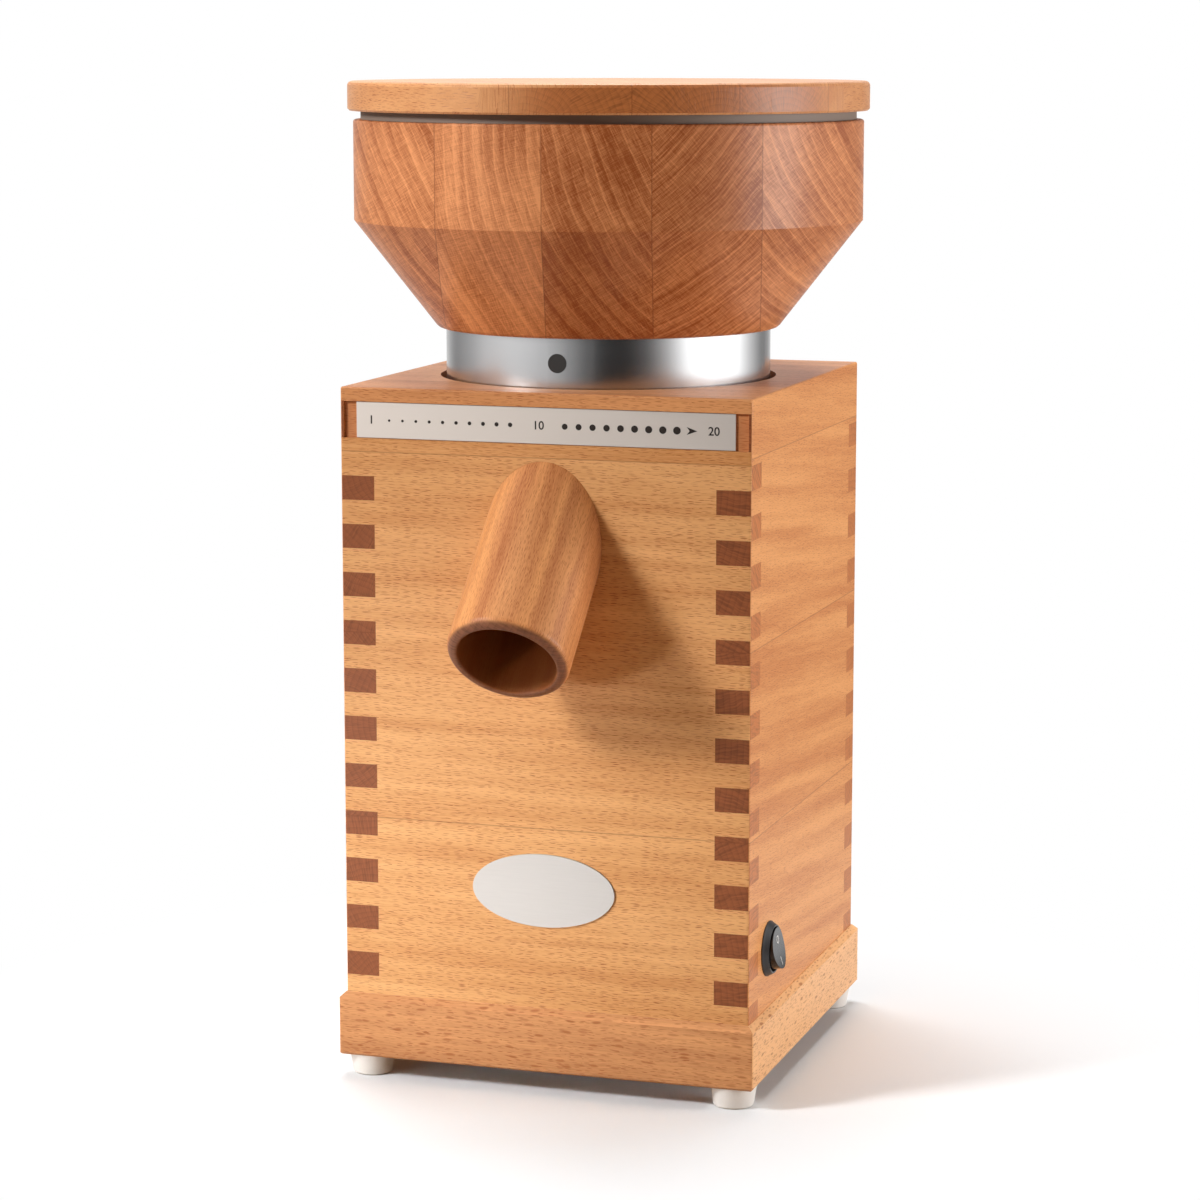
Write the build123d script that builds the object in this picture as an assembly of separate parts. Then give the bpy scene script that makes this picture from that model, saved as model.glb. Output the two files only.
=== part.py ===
"""Electric grain mill: wooden housing, stone grinding set, motor and screw-set hopper.

Millimetres, +Z up, front towards -Y. Every piece is drawn about the mill's vertical axis;
`save` then moves it, so that the origin is on the floor at the middle of the whole outline.
"""
from build123d import *
import os
from math import cos, hypot, pi, radians, sin

os.makedirs("parts", exist_ok=True)

# ---------------------------------------------------------------- driving sizes

# clearances, radial or per side
FIT = 0.1                    # pieces glued or pressed together
RUN = 0.05                   # turning and sliding fits
FREE = 0.4                   # pieces that move past each other
BESIDE = 0.3                 # fixed pieces that only stand near each other
PRESS_GAP = 0.15             # press ring over the stone carrier
PROUD = 1.0                  # how far a cut starts outside the solid that it cuts

# feet and base board
FOOT_H = 9.4
FOOT_TOP_R = 10.0
FOOT_BOTTOM_R = 8.5
FOOT_ROUND = 1.2
FOOT_INSET = 11.3            # foot centre from the base board's edges
BASE_T = 27.6
BASE_OVERHANG = 2.8
BASE_CHAMFER = 2.5
BASE_LOWER_CHAMFER = 1.0
BASE_ARRIS = 1.3             # rounding of the board's corners
VENT_COUNT = 5
VENT_PITCH = 14.0
VENT_W = 6.0
VENT_L = 66.0

# housing
HOUSING_W = 180.0
HOUSING_H = 262.5
PANEL_T = 15.0
ARRIS = 0.9                  # rounding along the housing's upright and top edges
TOP_SKIN = 6.0               # the part of the top board that covers the panels' ends
TOP_T = 15.0
TOP_HOLE_ROOM = 2.6          # between the hopper's collar and the hole in the top board
FINGER_FIRST = 7.9           # base board to the lowest side finger
FINGER_COUNT = 11            # side panel's fingers at each corner, as high as the gaps between
BAND_H = 5.7                 # mitred band between the fingers and the scale's slot

# scale at the front of the housing
SLOT_H = 15.5
SLOT_DEPTH = 8.0
SLOT_LIP = 1.4               # side panel left standing at the slot's ends
INLAY_RECESS = 1.4
SCALE_END = 7.15             # plate's end to the side of the housing
SCALE_EDGE = 0.25            # plate's edge to the slot's
SCALE_T = 0.8
NAME_PLATE_W = 63.0
NAME_PLATE_H = 31.5
NAME_PLATE_T = 0.8
NAME_PLATE_Z = 51.4          # above the base board

# spout
SPOUT_ANGLE = 47.8           # off the vertical
SPOUT_R = 25.75
SPOUT_WALL = 4.95
SPOUT_DROP = 63.5            # housing's top to the spout's axis at the front face
SPOUT_REACH = 62.4           # along the axis from the front face to the mouth
SPOUT_ROUND = 1.6
SPOUT_INNER_ROUND = 0.8

# grinding chamber
CHAMBER_ROOM = 3.0           # chamber to the panels
CHAMBER_WALL = 16.0
CHAMBER_FLOOR_T = 8.0
STONE_SET = 4.5              # milling face below the chamber's top
SPIGOT_WALL = 2.0
SPIGOT_ROOT = 5.0            # how far the outlet is let into the chamber's floor
SPIGOT_LENGTH = 6.0          # past the front panel's inner face, into the spout
OUTLET_RISE = 0.5            # the outlet's top edge over the milling face
LUG_IN = 11.0                # lug's centre from the panels
LUG_R = 9.0
LUG_T = 8.0
SLEEVE_FLANGE_W = 5.5
SLEEVE_FLANGE_T = 2.3
SLEEVE_T = 2.9
SLEEVE_H = 21.5
SLEEVE_SCREW_IN = 2.4        # screw axis from the flange's edge
SEAL_BORE_R = 12.5
SEAL_SET = 0.5               # seal's faces back from the floor's

# millstones and what carries them
STONE_ROOM = 9.8             # stones to the chamber's wall
MILL_BAND_W = 12.2           # flat milling band round each stone
LOWER_STONE_H = 17.5
UPPER_STONE_H = 16.0
STONE_GAP = 1.0              # between the stones with the marker at mid-scale
STONE_EYE_R = 17.0
STONE_CONE_DROP = 6.0
STONE_HUB_LAND = 3.0         # lower stone's flat middle, inside the eye's edge
FURROW_COUNT = 10
FURROW_W = 3.0
FURROW_DEPTH = 0.9
FURROW_OFFSET = 9.0          # furrows miss the axis by this
FURROW_RUN_IN = 8.0          # how far they run in past the flat band
FURROW_RUN_OUT = 2.0         # and out past the stone's edge
HOLDER_IN = 2.2              # holder's edge inside the stone's
HOLDER_T = 6.5
WIPER_RISE = 0.6             # wiper over the chamber's floor
WIPER_T = 3.4
WIPER_BLADES = 4
WIPER_BLADE_W = 6.0
WIPER_HUB_IN = 12.0          # wiper's hub inside the holder's edge
CARRIER_ROOM = 0.5           # flange to the sleeve's bore
CARRIER_FLANGE_T = 3.0
CARRIER_WALL = 3.3
CARRIER_TOP_T = 4.0
CARRIER_FLANGE_RISE = 7.0    # stone's milling face to the flange
GUIDE_COUNT = 3
GUIDE_IN = 3.1               # pins and springs from the flange's edge
GUIDE_PIN_R = 2.0
GUIDE_PIN_BITE = 12.0
GUIDE_PIN_PROUD = 2.0        # over the flange
SPRING_COIL_R = 2.3
SPRING_WIRE = 0.7
SPRING_TURNS = 4
SPRING_STEPS = 8             # straight runs to a turn
SPRING_POCKET_R = 3.2
SPRING_POCKET_DEPTH = 9.5
DRIVE_PIN_R = 2.5
DRIVE_PIN_AT = 25.0
DRIVE_PIN_BITE = 4.5         # into the holder and into the stone
NUT_R = 8.5
NUT_H = 6.0
WASHER_R = 10.5
WASHER_T = 1.5

# hopper
HOPPER_R = 110.3
HOPPER_RIM_H = 43.0          # the straight upper part
HOPPER_CONE_H = 46.5
HOPPER_WALL = 13.0
HOPPER_LIFT = 21.0           # housing top to the hopper's underside
HOPPER_FOOT_LAND = 3.3       # underside's width outside the collar
HOPPER_FOOT_ROUND = 1.2
HOPPER_RIM_ROUND = 0.9
STAVE_COUNT = 14
STAVE_FIRST = -88.9          # azimuth of one joint
COLLAR_T = 1.2
COLLAR_SEAT = 12.5           # how far the collar stands inside the bowl
COLLAR_DROP = 10.5           # how far it reaches below the housing's top
MARKER_R = 4.0
MARKER_T = 1.6
RING_WALL = 2.5
RING_LEDGE_W = 1.5           # carries the funnel's edge
RING_LEDGE_T = 1.4
THROAT_R = 17.5
FUNNEL_T = 3.5
FUNNEL_LIP = 2.9             # throat's straight part
PRESS_RING_IN = 2.2          # press ring inside the stone's edge
PRESS_RING_W = 4.5
RING_SCREW_COUNT = 4
RING_SCREW_LIFT = 5.5        # screw axis above the bowl's underside
RING_SCREW_LENGTH = 8.6

# lid
LID_OVERHANG = 2.4
LID_T = 12.5
LID_ROUND = 1.6
LID_UNDER_CHAMFER = 0.8
LID_STEP_H = 6.0
LID_STEP_ROOM = 0.8
SEAL_IN = 3.2                # seal's edge inside the hopper's
SEAL_W = 8.0
SEAL_T = 3.8

# motor
ROTOR_R = 30.0
AIR_GAP = 0.5
TOOTH_TIP = 2.5              # air gap to the winding slots
STATOR_R = 57.0
STATOR_YOKE = 10.0           # winding slots to the outside
STATOR_SLOTS = 12
SLOT_SHARE = 0.54            # of the way round that the winding slots take
STACK_H = 60.0
WINDING_OVERHANG = 17.0
WINDING_FLARE = 3.0
WINDING_ROUND = 4.0
WINDING_LIFT = 1.0           # end turns off the stack
LEG_BITE = 2.0               # slot legs into the end turns
END_RING_H = 6.0
END_RING_W = 10.0
END_RING_IN = 2.0            # cage's rings inside the rotor's edge
SHAFT_R = 6.0
SHAFT_END_R = 5.0
SHAFT_PROUD = 1.0            # over the stone's nut
SHAFT_TAIL = 6.0
CENTRE_R = 1.5
CENTRE_DEPTH = 3.0
SHIELD_WALL = 4.0
SHIELD_PLATE = 5.0
SHIELD_DEPTH = 36.0
SHIELD_ROOM = 2.0            # plate's hole round the shaft
SEAT_WALL = 4.0
SEAT_SET = 4.0               # plate's outer face to the bearing
SEAT_RIM = 1.0               # bearing seat past the bearing
WINDOW_W = 18.0
WINDOW_LAND = 11.0           # air windows from the shield's edge
WINDOW_HUB_LAND = 6.0        # and from the bearing seat
BEARING_R = 16.0
BEARING_W = 10.0
BEARING_RACE = 3.0
BEARING_SHIELD_SET = 1.0
DAMPER_H = 8.0
DAMPER_R = 7.0
DAMPER_NECK = 1.6
DAMPER_IN = 8.9              # damper's axis from the shield's edge
TIE_OUT = 3.8                # tie bolts outside the stack
TIE_LUG_R = 5.0
TIE_LUG_H = 8.0
TIE_PROUD = 1.5
FAN_R = 50.0
FAN_H = 12.0
FAN_DISC = 2.0
FAN_BLADES = 9
FAN_BLADE_T = 1.8
FAN_BLADE_FROM = 22.0
FAN_HUB_WALL = 5.0
FAN_GAP = 6.0
CLIP_T = 1.6
CLIP_W = 2.5
CLIP_MOUTH = 4.0

# switch
SWITCH_IN = 31.5             # switch's axis from the housing's front face
SWITCH_Z = 25.6              # above the base board
SWITCH_OPEN_R = 9.7
BEZEL_W = 2.17
BEZEL_H = 3.0
BEZEL_LIP = 0.6
BEZEL_EDGE = 0.5
BARREL_WALL = 0.6
BARREL_DEPTH = 25.0
BARREL_FLOOR = 9.0
ROCKER_ROOM = 0.9
ROCKER_FACE = 3.2            # pivot to the middle of the rocker's face
ROCKER_SKIRT = 3.6           # pivot to the rocker's inner end
ROCKER_PIVOT = 1.5           # pivot in front of the panel
ROCKER_TILT = 10.5           # each way from level
ROCKER_DISH_R = 62.0
ROCKER_PIN_R = 1.0
ROCKER_CHAMFER = 0.8
TAB_T = 0.8
TAB_W = 6.3
TAB_L = 8.0
TAB_PITCH = 5.0

# mains entry and wiring pieces
BUSH_IN = 40.0               # bush's axis from the right side
BUSH_Z = 20.0                # above the base board
BUSH_R = 6.0
BUSH_BORE_R = 3.6
BUSH_FLANGE_W = 3.0
BUSH_FLANGE_T = 1.5
BUSH_NOSE = 3.5
BUSH_TAIL = 2.0
CAPACITOR_R = 15.0
CAPACITOR_H = 58.0
CAPACITOR_ROOM = 4.0         # can to the panels
CAPACITOR_ROUND = 1.5
STRAP_Z = 32.0               # above the base board
STRAP_W = 10.0
STRAP_T = 1.2
STRAP_TAB = 16.0
TERMINAL_L = 30.0
TERMINAL_D = 16.0
TERMINAL_H = 16.0
TERMINAL_IN = 9.0            # block from the left and front panels
TERMINAL_WAYS = 3
TERMINAL_PITCH = 9.0
TERMINAL_WAY = 6.0
TERMINAL_WAY_Z = 4.0

# screws and bolts
BASE_SCREW_ROW = 38.0        # from the middle of each edge
BASE_SCREW_LENGTH = 45.0
FOOT_SCREW_LENGTH = 22.0
FOOT_RECESS_R = 4.6
FOOT_RECESS_H = 4.0
LUG_SCREW_BITE = 12.0        # into the top board
FLOOR_SCREW_IN = 6.0         # chamber floor's screws from its edge
FLOOR_SCREW_LENGTH = 20.0
WOOD_SCREW_R = 2.0
WOOD_SCREW_HEAD_R = 4.0
WOOD_SCREW_HEAD_H = 2.6
SMALL_SCREW_R = 1.25
SMALL_SCREW_HEAD_R = 2.2
SMALL_SCREW_HEAD_H = 1.2
SLEEVE_SCREW_LENGTH = 9.0
SCREW_END = 0.5              # a blind hole past its screw
BOLT_R = 2.0                 # motor bolts and tie bolts
BOLT_HEAD_R = 3.5
BOLT_HEAD_H = 3.0
BOLT_COVER = 2.0             # chamber floor left over the motor bolts' holes

# ---------------------------------------------------------------- derived places

HALF = HOUSING_W / 2
INSIDE = HALF - PANEL_T
BASE_HALF = HALF + BASE_OVERHANG
BASE_TOP = FOOT_H + BASE_T
TOP = BASE_TOP + HOUSING_H
SKIN_Z = TOP - TOP_SKIN
TOP_UNDER = TOP - TOP_T
SLOT_Z = SKIN_Z - SLOT_H
FOOT_AT = BASE_HALF - FOOT_INSET
MITRE_Z = SLOT_Z - BAND_H
FINGER_PITCH = (MITRE_Z - BASE_TOP - FINGER_FIRST) / FINGER_COUNT

CHAMBER_R = INSIDE - CHAMBER_ROOM
CHAMBER_BORE_R = CHAMBER_R - CHAMBER_WALL
CHAMBER_TOP = TOP_UNDER
MILL_Z = CHAMBER_TOP - STONE_SET
LOWER_STONE_Z = MILL_Z - LOWER_STONE_H
HOLDER_Z = LOWER_STONE_Z - HOLDER_T
WIPER_Z = HOLDER_Z - WIPER_T
CHAMBER_FLOOR = WIPER_Z - WIPER_RISE
CHAMBER_UNDER = CHAMBER_FLOOR - CHAMBER_FLOOR_T
LUG_CIRCLE_R = hypot(INSIDE - LUG_IN, INSIDE - LUG_IN)
SLEEVE_R = CHAMBER_R - SLEEVE_FLANGE_W
SLEEVE_BORE_R = SLEEVE_R - SLEEVE_T
SLEEVE_TOP = CHAMBER_TOP + SLEEVE_H
SLEEVE_SCREW_CIRCLE_R = CHAMBER_R - SLEEVE_SCREW_IN
FLOOR_SCREW_CIRCLE_R = CHAMBER_R - FLOOR_SCREW_IN

STONE_R = CHAMBER_BORE_R - STONE_ROOM
STONE_FLAT_R = STONE_R - MILL_BAND_W
HOLDER_R = STONE_R - HOLDER_IN
UPPER_STONE_Z = MILL_Z + STONE_GAP
UPPER_STONE_TOP = UPPER_STONE_Z + UPPER_STONE_H
FLANGE_Z = UPPER_STONE_Z + CARRIER_FLANGE_RISE
FLANGE_TOP = FLANGE_Z + CARRIER_FLANGE_T
CARRIER_TOP = UPPER_STONE_TOP + CARRIER_TOP_T
CARRIER_FLANGE_R = SLEEVE_BORE_R - CARRIER_ROOM
GUIDE_CIRCLE_R = CARRIER_FLANGE_R - GUIDE_IN
SPRING_FIRST = 180.0 / GUIDE_COUNT
NUT_Z = MILL_Z - STONE_CONE_DROP
NUT_TOP = NUT_Z + WASHER_T + NUT_H

RING_BORE_R = SLEEVE_R + FREE
RING_R = RING_BORE_R + RING_WALL
PRESS_OUT_R = STONE_R - PRESS_RING_IN
PRESS_IN_R = PRESS_OUT_R - PRESS_RING_W
COLLAR_R = RING_R + FIT + COLLAR_T
TOP_HOLE_R = COLLAR_R + TOP_HOLE_ROOM
HOPPER_FOOT_R = COLLAR_R + HOPPER_FOOT_LAND
HOPPER_Z = TOP + HOPPER_LIFT
SHOULDER_Z = HOPPER_Z + HOPPER_CONE_H
RIM_Z = SHOULDER_Z + HOPPER_RIM_H
COLLAR_TOP = HOPPER_Z + COLLAR_SEAT
COLLAR_Z = TOP - COLLAR_DROP
CONE_SLOPE = HOPPER_CONE_H / (HOPPER_R - HOPPER_FOOT_R)
BOWL_R = HOPPER_R - HOPPER_WALL
# the inner corner lies this much above the outer one, so that the cone has an even wall
WALL_RISE = HOPPER_WALL * (hypot(1, CONE_SLOPE) - CONE_SLOPE)
LID_R = HOPPER_R + LID_OVERHANG
SEAL_R = HOPPER_R - SEAL_IN
SEAL_Z = RIM_Z + FIT
LID_Z = SEAL_Z + SEAL_T - FIT
LID_TOP = LID_Z + LID_T

SHIELD_TOP = CHAMBER_UNDER - DAMPER_H
STACK_TOP = SHIELD_TOP - SHIELD_DEPTH
STACK_Z = STACK_TOP - STACK_H
SHIELD_UNDER = STACK_Z - SHIELD_DEPTH
FAN_TOP = SHIELD_UNDER - FAN_GAP
FAN_Z = FAN_TOP - FAN_H
SHAFT_Z = FAN_Z - SHAFT_TAIL
SHAFT_TOP = NUT_TOP + SHAFT_PROUD
UPPER_BEARING_Z = SHIELD_TOP - SEAT_SET - BEARING_W
LOWER_BEARING_Z = SHIELD_UNDER + SEAT_SET
SLOT_IN_R = ROTOR_R + AIR_GAP + TOOTH_TIP
SLOT_OUT_R = STATOR_R - STATOR_YOKE
TIE_R = STATOR_R + TIE_OUT
DAMPER_CIRCLE_R = STATOR_R - DAMPER_IN

SWITCH_Y = -HALF + SWITCH_IN
SWITCH_PIVOT_Z = BASE_TOP + SWITCH_Z
BARREL_R = SWITCH_OPEN_R + BARREL_WALL
BEZEL_R = SWITCH_OPEN_R + BEZEL_W
ROCKER_R = SWITCH_OPEN_R - ROCKER_ROOM
BUSH_X = HALF - BUSH_IN
CAPACITOR_AT = INSIDE - CAPACITOR_R - CAPACITOR_ROOM

SPOUT_BORE_R = SPOUT_R - SPOUT_WALL
SPIGOT_R = SPOUT_BORE_R - FREE
SPIGOT_BORE_R = SPIGOT_R - SPIGOT_WALL
SPOUT_Z = TOP - SPOUT_DROP
SPOUT_FRONT = (
    HALF
    + SPOUT_REACH * sin(radians(SPOUT_ANGLE))
    + SPOUT_R * cos(radians(SPOUT_ANGLE))
)
AXIS_Y = (SPOUT_FRONT - LID_R) / 2


# ---------------------------------------------------------------- helpers

def save(name, *solids):
    """Write one node: its solids, moved from the mill's axis to the part's own frame."""
    moved = [Pos(0, AXIS_Y, 0) * solid for solid in solids]
    shape = moved[0] if len(moved) == 1 else Compound(children=moved)
    export_step(shape, f"parts/{name}.step")


def block(x0, x1, y0, y1, z0, z1):
    middle = Pos((x0 + x1) / 2, (y0 + y1) / 2, (z0 + z1) / 2)
    return middle * Box(x1 - x0, y1 - y0, z1 - z0)


def rod(radius, z0, z1, x=0.0, y=0.0):
    return Pos(x, y, (z0 + z1) / 2) * Cylinder(radius, z1 - z0)


def tube(outer, inner, z0, z1, x=0.0, y=0.0):
    return rod(outer, z0, z1, x, y) - rod(inner, z0, z1, x, y)


def turned(points, arc=360.0):
    """A solid of revolution about the mill's axis from (radius, height) points."""
    outline = Plane.XZ * Polyline(*points, close=True)
    return revolve(make_face(outline), Axis.Z, arc)


def around(count, radius=1.0, first=0.0):
    """Places on a circle about the axis: (x, y, angle in degrees)."""
    for k in range(count):
        angle = first + 360.0 * k / count
        yield radius * cos(radians(angle)), radius * sin(radians(angle)), angle


def corners(distance):
    return [(sx * distance, sy * distance) for sx in (-1, 1) for sy in (-1, 1)]


def each(make, places):
    """One solid from make(x, y) at each place."""
    return [make(place[0], place[1]) for place in places]


def countersunk(radius, head_r, head_h, length, x, y, head_z, way):
    """A countersunk screw. Its head's flat face is at head_z, and its shank goes up where way
    is 1 and down where it is -1."""
    head = Pos(x, y, head_z + way * head_h / 2) * Rot(90 - way * 90, 0, 0)
    low, high = sorted((head_z, head_z + way * length))
    return head * Cone(head_r, radius, head_h) + rod(radius, low, high, x, y)


# ---------------------------------------------------------------- base and feet

def base_screw_places():
    edge = HALF - PANEL_T / 2
    along = (-BASE_SCREW_ROW, BASE_SCREW_ROW)
    return [(s * edge, t) for s in (-1, 1) for t in along] + [
        (t, s * edge) for s in (-1, 1) for t in along
    ]


def base_screw(x, y, grow=0.0):
    length = BASE_SCREW_LENGTH + grow
    head_r = WOOD_SCREW_HEAD_R + grow
    return countersunk(WOOD_SCREW_R + grow, head_r, WOOD_SCREW_HEAD_H, length, x, y, FOOT_H, 1)


def foot_screw(x, y):
    """A pan-head screw in the foot's recess."""
    head = rod(WOOD_SCREW_HEAD_R, FOOT_RECESS_H - WOOD_SCREW_HEAD_H, FOOT_RECESS_H, x, y)
    return head + rod(WOOD_SCREW_R, FOOT_RECESS_H, FOOT_RECESS_H + FOOT_SCREW_LENGTH, x, y)


def foot_screw_hole(x, y):
    length = FOOT_SCREW_LENGTH + SCREW_END
    return rod(WOOD_SCREW_R + FIT, FOOT_RECESS_H, FOOT_RECESS_H + length, x, y)


def base_board():
    board = block(-BASE_HALF, BASE_HALF, -BASE_HALF, BASE_HALF, FOOT_H, BASE_TOP)
    board = chamfer(board.faces().sort_by(Axis.Z)[-1].edges(), BASE_CHAMFER)
    board = chamfer(board.faces().sort_by(Axis.Z)[0].edges(), BASE_LOWER_CHAMFER)
    outline = RectangleRounded(2 * BASE_HALF, 2 * BASE_HALF, BASE_ARRIS)
    board &= Pos(0, 0, FOOT_H) * extrude(outline, BASE_T)
    middle = (VENT_COUNT - 1) / 2
    for k in range(VENT_COUNT):
        place = Pos(0, (k - middle) * VENT_PITCH, FOOT_H)
        board -= place * extrude(SlotOverall(VENT_L, VENT_W), BASE_T)
    for x, y in base_screw_places():
        board -= base_screw(x, y, FIT)
    for x, y in corners(FOOT_AT):
        board -= foot_screw_hole(x, y)
    return board


def foot(x, y):
    """A tapered plastic foot with a recess that hides its screw."""
    body = Pos(x, y, FOOT_H / 2) * Cone(FOOT_BOTTOM_R, FOOT_TOP_R, FOOT_H)
    body = fillet(body.edges().sort_by(Axis.Z)[0], FOOT_ROUND)
    body -= rod(FOOT_RECESS_R, 0, FOOT_RECESS_H, x, y)
    return body - foot_screw_hole(x, y)


# ---------------------------------------------------------------- finger-jointed housing

def finger_spans():
    """Heights that the side panels' fingers fill at a corner."""
    lows = [BASE_TOP + FINGER_FIRST + k * FINGER_PITCH for k in range(FINGER_COUNT)]
    return [(low, low + FINGER_PITCH / 2) for low in lows]


def socket_spans():
    """Heights between those fingers, up to where the corner is mitred."""
    spans = finger_spans()
    lows = [BASE_TOP] + [high for _, high in spans]
    highs = [low for low, _ in spans] + [MITRE_Z]
    return list(zip(lows, highs))


def mitre_wedge(side, end, low, high):
    """The front's or back's half of a mitred corner, between two heights."""
    outline = [(side * HALF, end * HALF), (side * INSIDE, end * HALF),
               (side * INSIDE, end * INSIDE)]
    half = (high - low) / 2
    return Pos(0, 0, low + half) * extrude(make_face(Polyline(*outline, close=True)), half,
                                           both=True)


def housing_form():
    """The whole housing's outer form, its upright and top edges rounded."""
    form = block(-HALF, HALF, -HALF, HALF, BASE_TOP, TOP)
    form = fillet(form.edges().filter_by(Axis.Z), ARRIS)
    return fillet(form.faces().sort_by(Axis.Z)[-1].edges(), ARRIS)


def finished(panel):
    """The same panel with its outer edges rounded and pilot holes for the base screws."""
    panel &= housing_form()
    for x, y in base_screw_places():
        panel -= base_screw(x, y, FIT)
    return panel


def side_panel(side):
    """A side panel: fingers front and back with mitres over them, a mitre along the top, and the
    slot's end at the front."""
    inner, outer = sorted((side * INSIDE, side * HALF))
    panel = block(inner, outer, -HALF, HALF, BASE_TOP, TOP)
    lip = [(side * (HALF - TOP_SKIN), SKIN_Z), (side * HALF, TOP), (side * INSIDE, TOP),
           (side * INSIDE, SKIN_Z)]
    panel -= extrude(make_face(Plane.XZ * Polyline(*lip, close=True)), HALF, both=True)
    for low, high in socket_spans():
        panel -= block(inner, outer, -HALF, -INSIDE, low, high)
        panel -= block(inner, outer, INSIDE, HALF, low, high)
    panel -= mitre_wedge(side, -1, MITRE_Z, SLOT_Z)
    panel -= mitre_wedge(side, -1, SKIN_Z, TOP)
    panel -= mitre_wedge(side, 1, MITRE_Z, TOP)
    slot_in, slot_out = sorted((side * INSIDE, side * (HALF - SLOT_LIP)))
    panel -= block(slot_in, slot_out, -HALF, -HALF + SLOT_DEPTH, SLOT_Z, SKIN_Z)
    return finished(panel)


def right_panel():
    """The side panel with the round hole for the switch."""
    return side_panel(1) - switch_place() * Cylinder(BARREL_R + FIT, 2 * PANEL_T + PROUD)


def spout_plane():
    """Origin on the front face, Z along the spout's axis towards its mouth."""
    slant = radians(SPOUT_ANGLE)
    return Plane(origin=(0, -HALF, SPOUT_Z), x_dir=(1, 0, 0), z_dir=(0, -sin(slant), -cos(slant)))


def front_panel():
    """The front panel, with the spout's slanted hole and the scale's slot along its top."""
    panel = block(-HALF, HALF, -HALF, -INSIDE, BASE_TOP, SKIN_Z)
    for side in (-1, 1):
        inner, outer = sorted((side * INSIDE, side * HALF))
        for low, high in finger_spans():
            panel -= block(inner, outer, -HALF, -INSIDE, low, high)
        panel -= block(inner, outer, -HALF, -INSIDE, MITRE_Z, SKIN_Z)
        panel += mitre_wedge(side, -1, MITRE_Z, SLOT_Z)
    panel -= block(-HALF, HALF, -HALF, -HALF + SLOT_DEPTH, SLOT_Z, SKIN_Z)
    return finished(panel - spout_plane() * Cylinder(SPOUT_R + FIT, 2 * SPOUT_REACH))


def back_panel():
    """The back panel, with the hole for the mains bush."""
    panel = block(-HALF, HALF, INSIDE, HALF, BASE_TOP, SKIN_Z)
    for side in (-1, 1):
        inner, outer = sorted((side * INSIDE, side * HALF))
        for low, high in finger_spans():
            panel -= block(inner, outer, INSIDE, HALF, low, high)
        panel -= block(inner, outer, INSIDE, HALF, MITRE_Z, SKIN_Z)
        panel += mitre_wedge(side, 1, MITRE_Z, SKIN_Z)
    return finished(panel - bush_place() * Cylinder(BUSH_R + FIT, 2 * PANEL_T + PROUD))


def top_board():
    """The top: a skin mitred to the side panels, whose front and back edges run from corner to
    corner, and a thicker middle that drops between the panels."""
    skin = [(-HALF, TOP), (HALF, TOP), (HALF - TOP_SKIN, SKIN_Z), (-HALF + TOP_SKIN, SKIN_Z)]
    board = extrude(make_face(Plane.XZ * Polyline(*skin, close=True)), HALF, both=True)
    for side, end in corners(1):
        board += mitre_wedge(side, end, SKIN_Z, TOP)
    inner = INSIDE - FIT
    board += block(-inner, inner, -inner, inner, TOP_UNDER, SKIN_Z)
    board -= rod(TOP_HOLE_R, TOP_UNDER, TOP)
    for x, y, _ in lug_places():
        board -= rod(WOOD_SCREW_R + FIT, TOP_UNDER, TOP_UNDER + LUG_SCREW_BITE, x, y)
    return board & housing_form()


def scale_inlay():
    """The wooden strip that fills the slot behind the scale."""
    half = HALF - SLOT_LIP - FIT
    return block(-half, half, -HALF + INLAY_RECESS, -HALF + SLOT_DEPTH, SLOT_Z, SKIN_Z - FIT)


def scale_plate():
    front = -HALF + INLAY_RECESS
    half = HALF - SCALE_END
    return block(-half, half, front - SCALE_T, front, SLOT_Z + SCALE_EDGE, SKIN_Z - SCALE_EDGE)


def name_plate():
    """The bare oval plate near the foot of the front panel."""
    oval = Plane.XZ * Ellipse(NAME_PLATE_W / 2, NAME_PLATE_H / 2)
    return Pos(0, -HALF, BASE_TOP + NAME_PLATE_Z) * extrude(oval, NAME_PLATE_T)


# ---------------------------------------------------------------- spout and grinding chamber

def mouth_edges(wall):
    """The circles at the tube's upper end, from the bore outwards."""
    circles = wall.edges().filter_by(GeomType.CIRCLE)
    return circles.group_by(Axis.Z)[-1].sort_by(SortBy.RADIUS)


def spout():
    """A wooden tube let into the front panel, its mouth rounded and its inner end cut upright."""
    length = SPOUT_REACH + 2 * SPOUT_R + PANEL_T
    wall = Cylinder(SPOUT_R, length) - Cylinder(SPOUT_BORE_R, length)
    wall = fillet(mouth_edges(wall)[-1], SPOUT_ROUND)
    wall = fillet(mouth_edges(wall)[0], SPOUT_INNER_ROUND)
    wall = spout_plane() * Pos(0, 0, SPOUT_REACH - length / 2) * wall
    return wall - block(-HALF, HALF, -INSIDE, HALF, BASE_TOP, TOP + HALF)


def outlet(radius, root_r):
    """A slanted cylinder on the spout's axis, outside root_r and under the outlet's ceiling."""
    ceiling = MILL_Z + OUTLET_RISE
    cylinder = spout_plane() * Cylinder(radius, 2 * HALF)
    cylinder = cylinder & block(-HALF, HALF, -SPOUT_FRONT, 0, BASE_TOP, ceiling)
    return cylinder - rod(root_r, BASE_TOP, ceiling)


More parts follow.
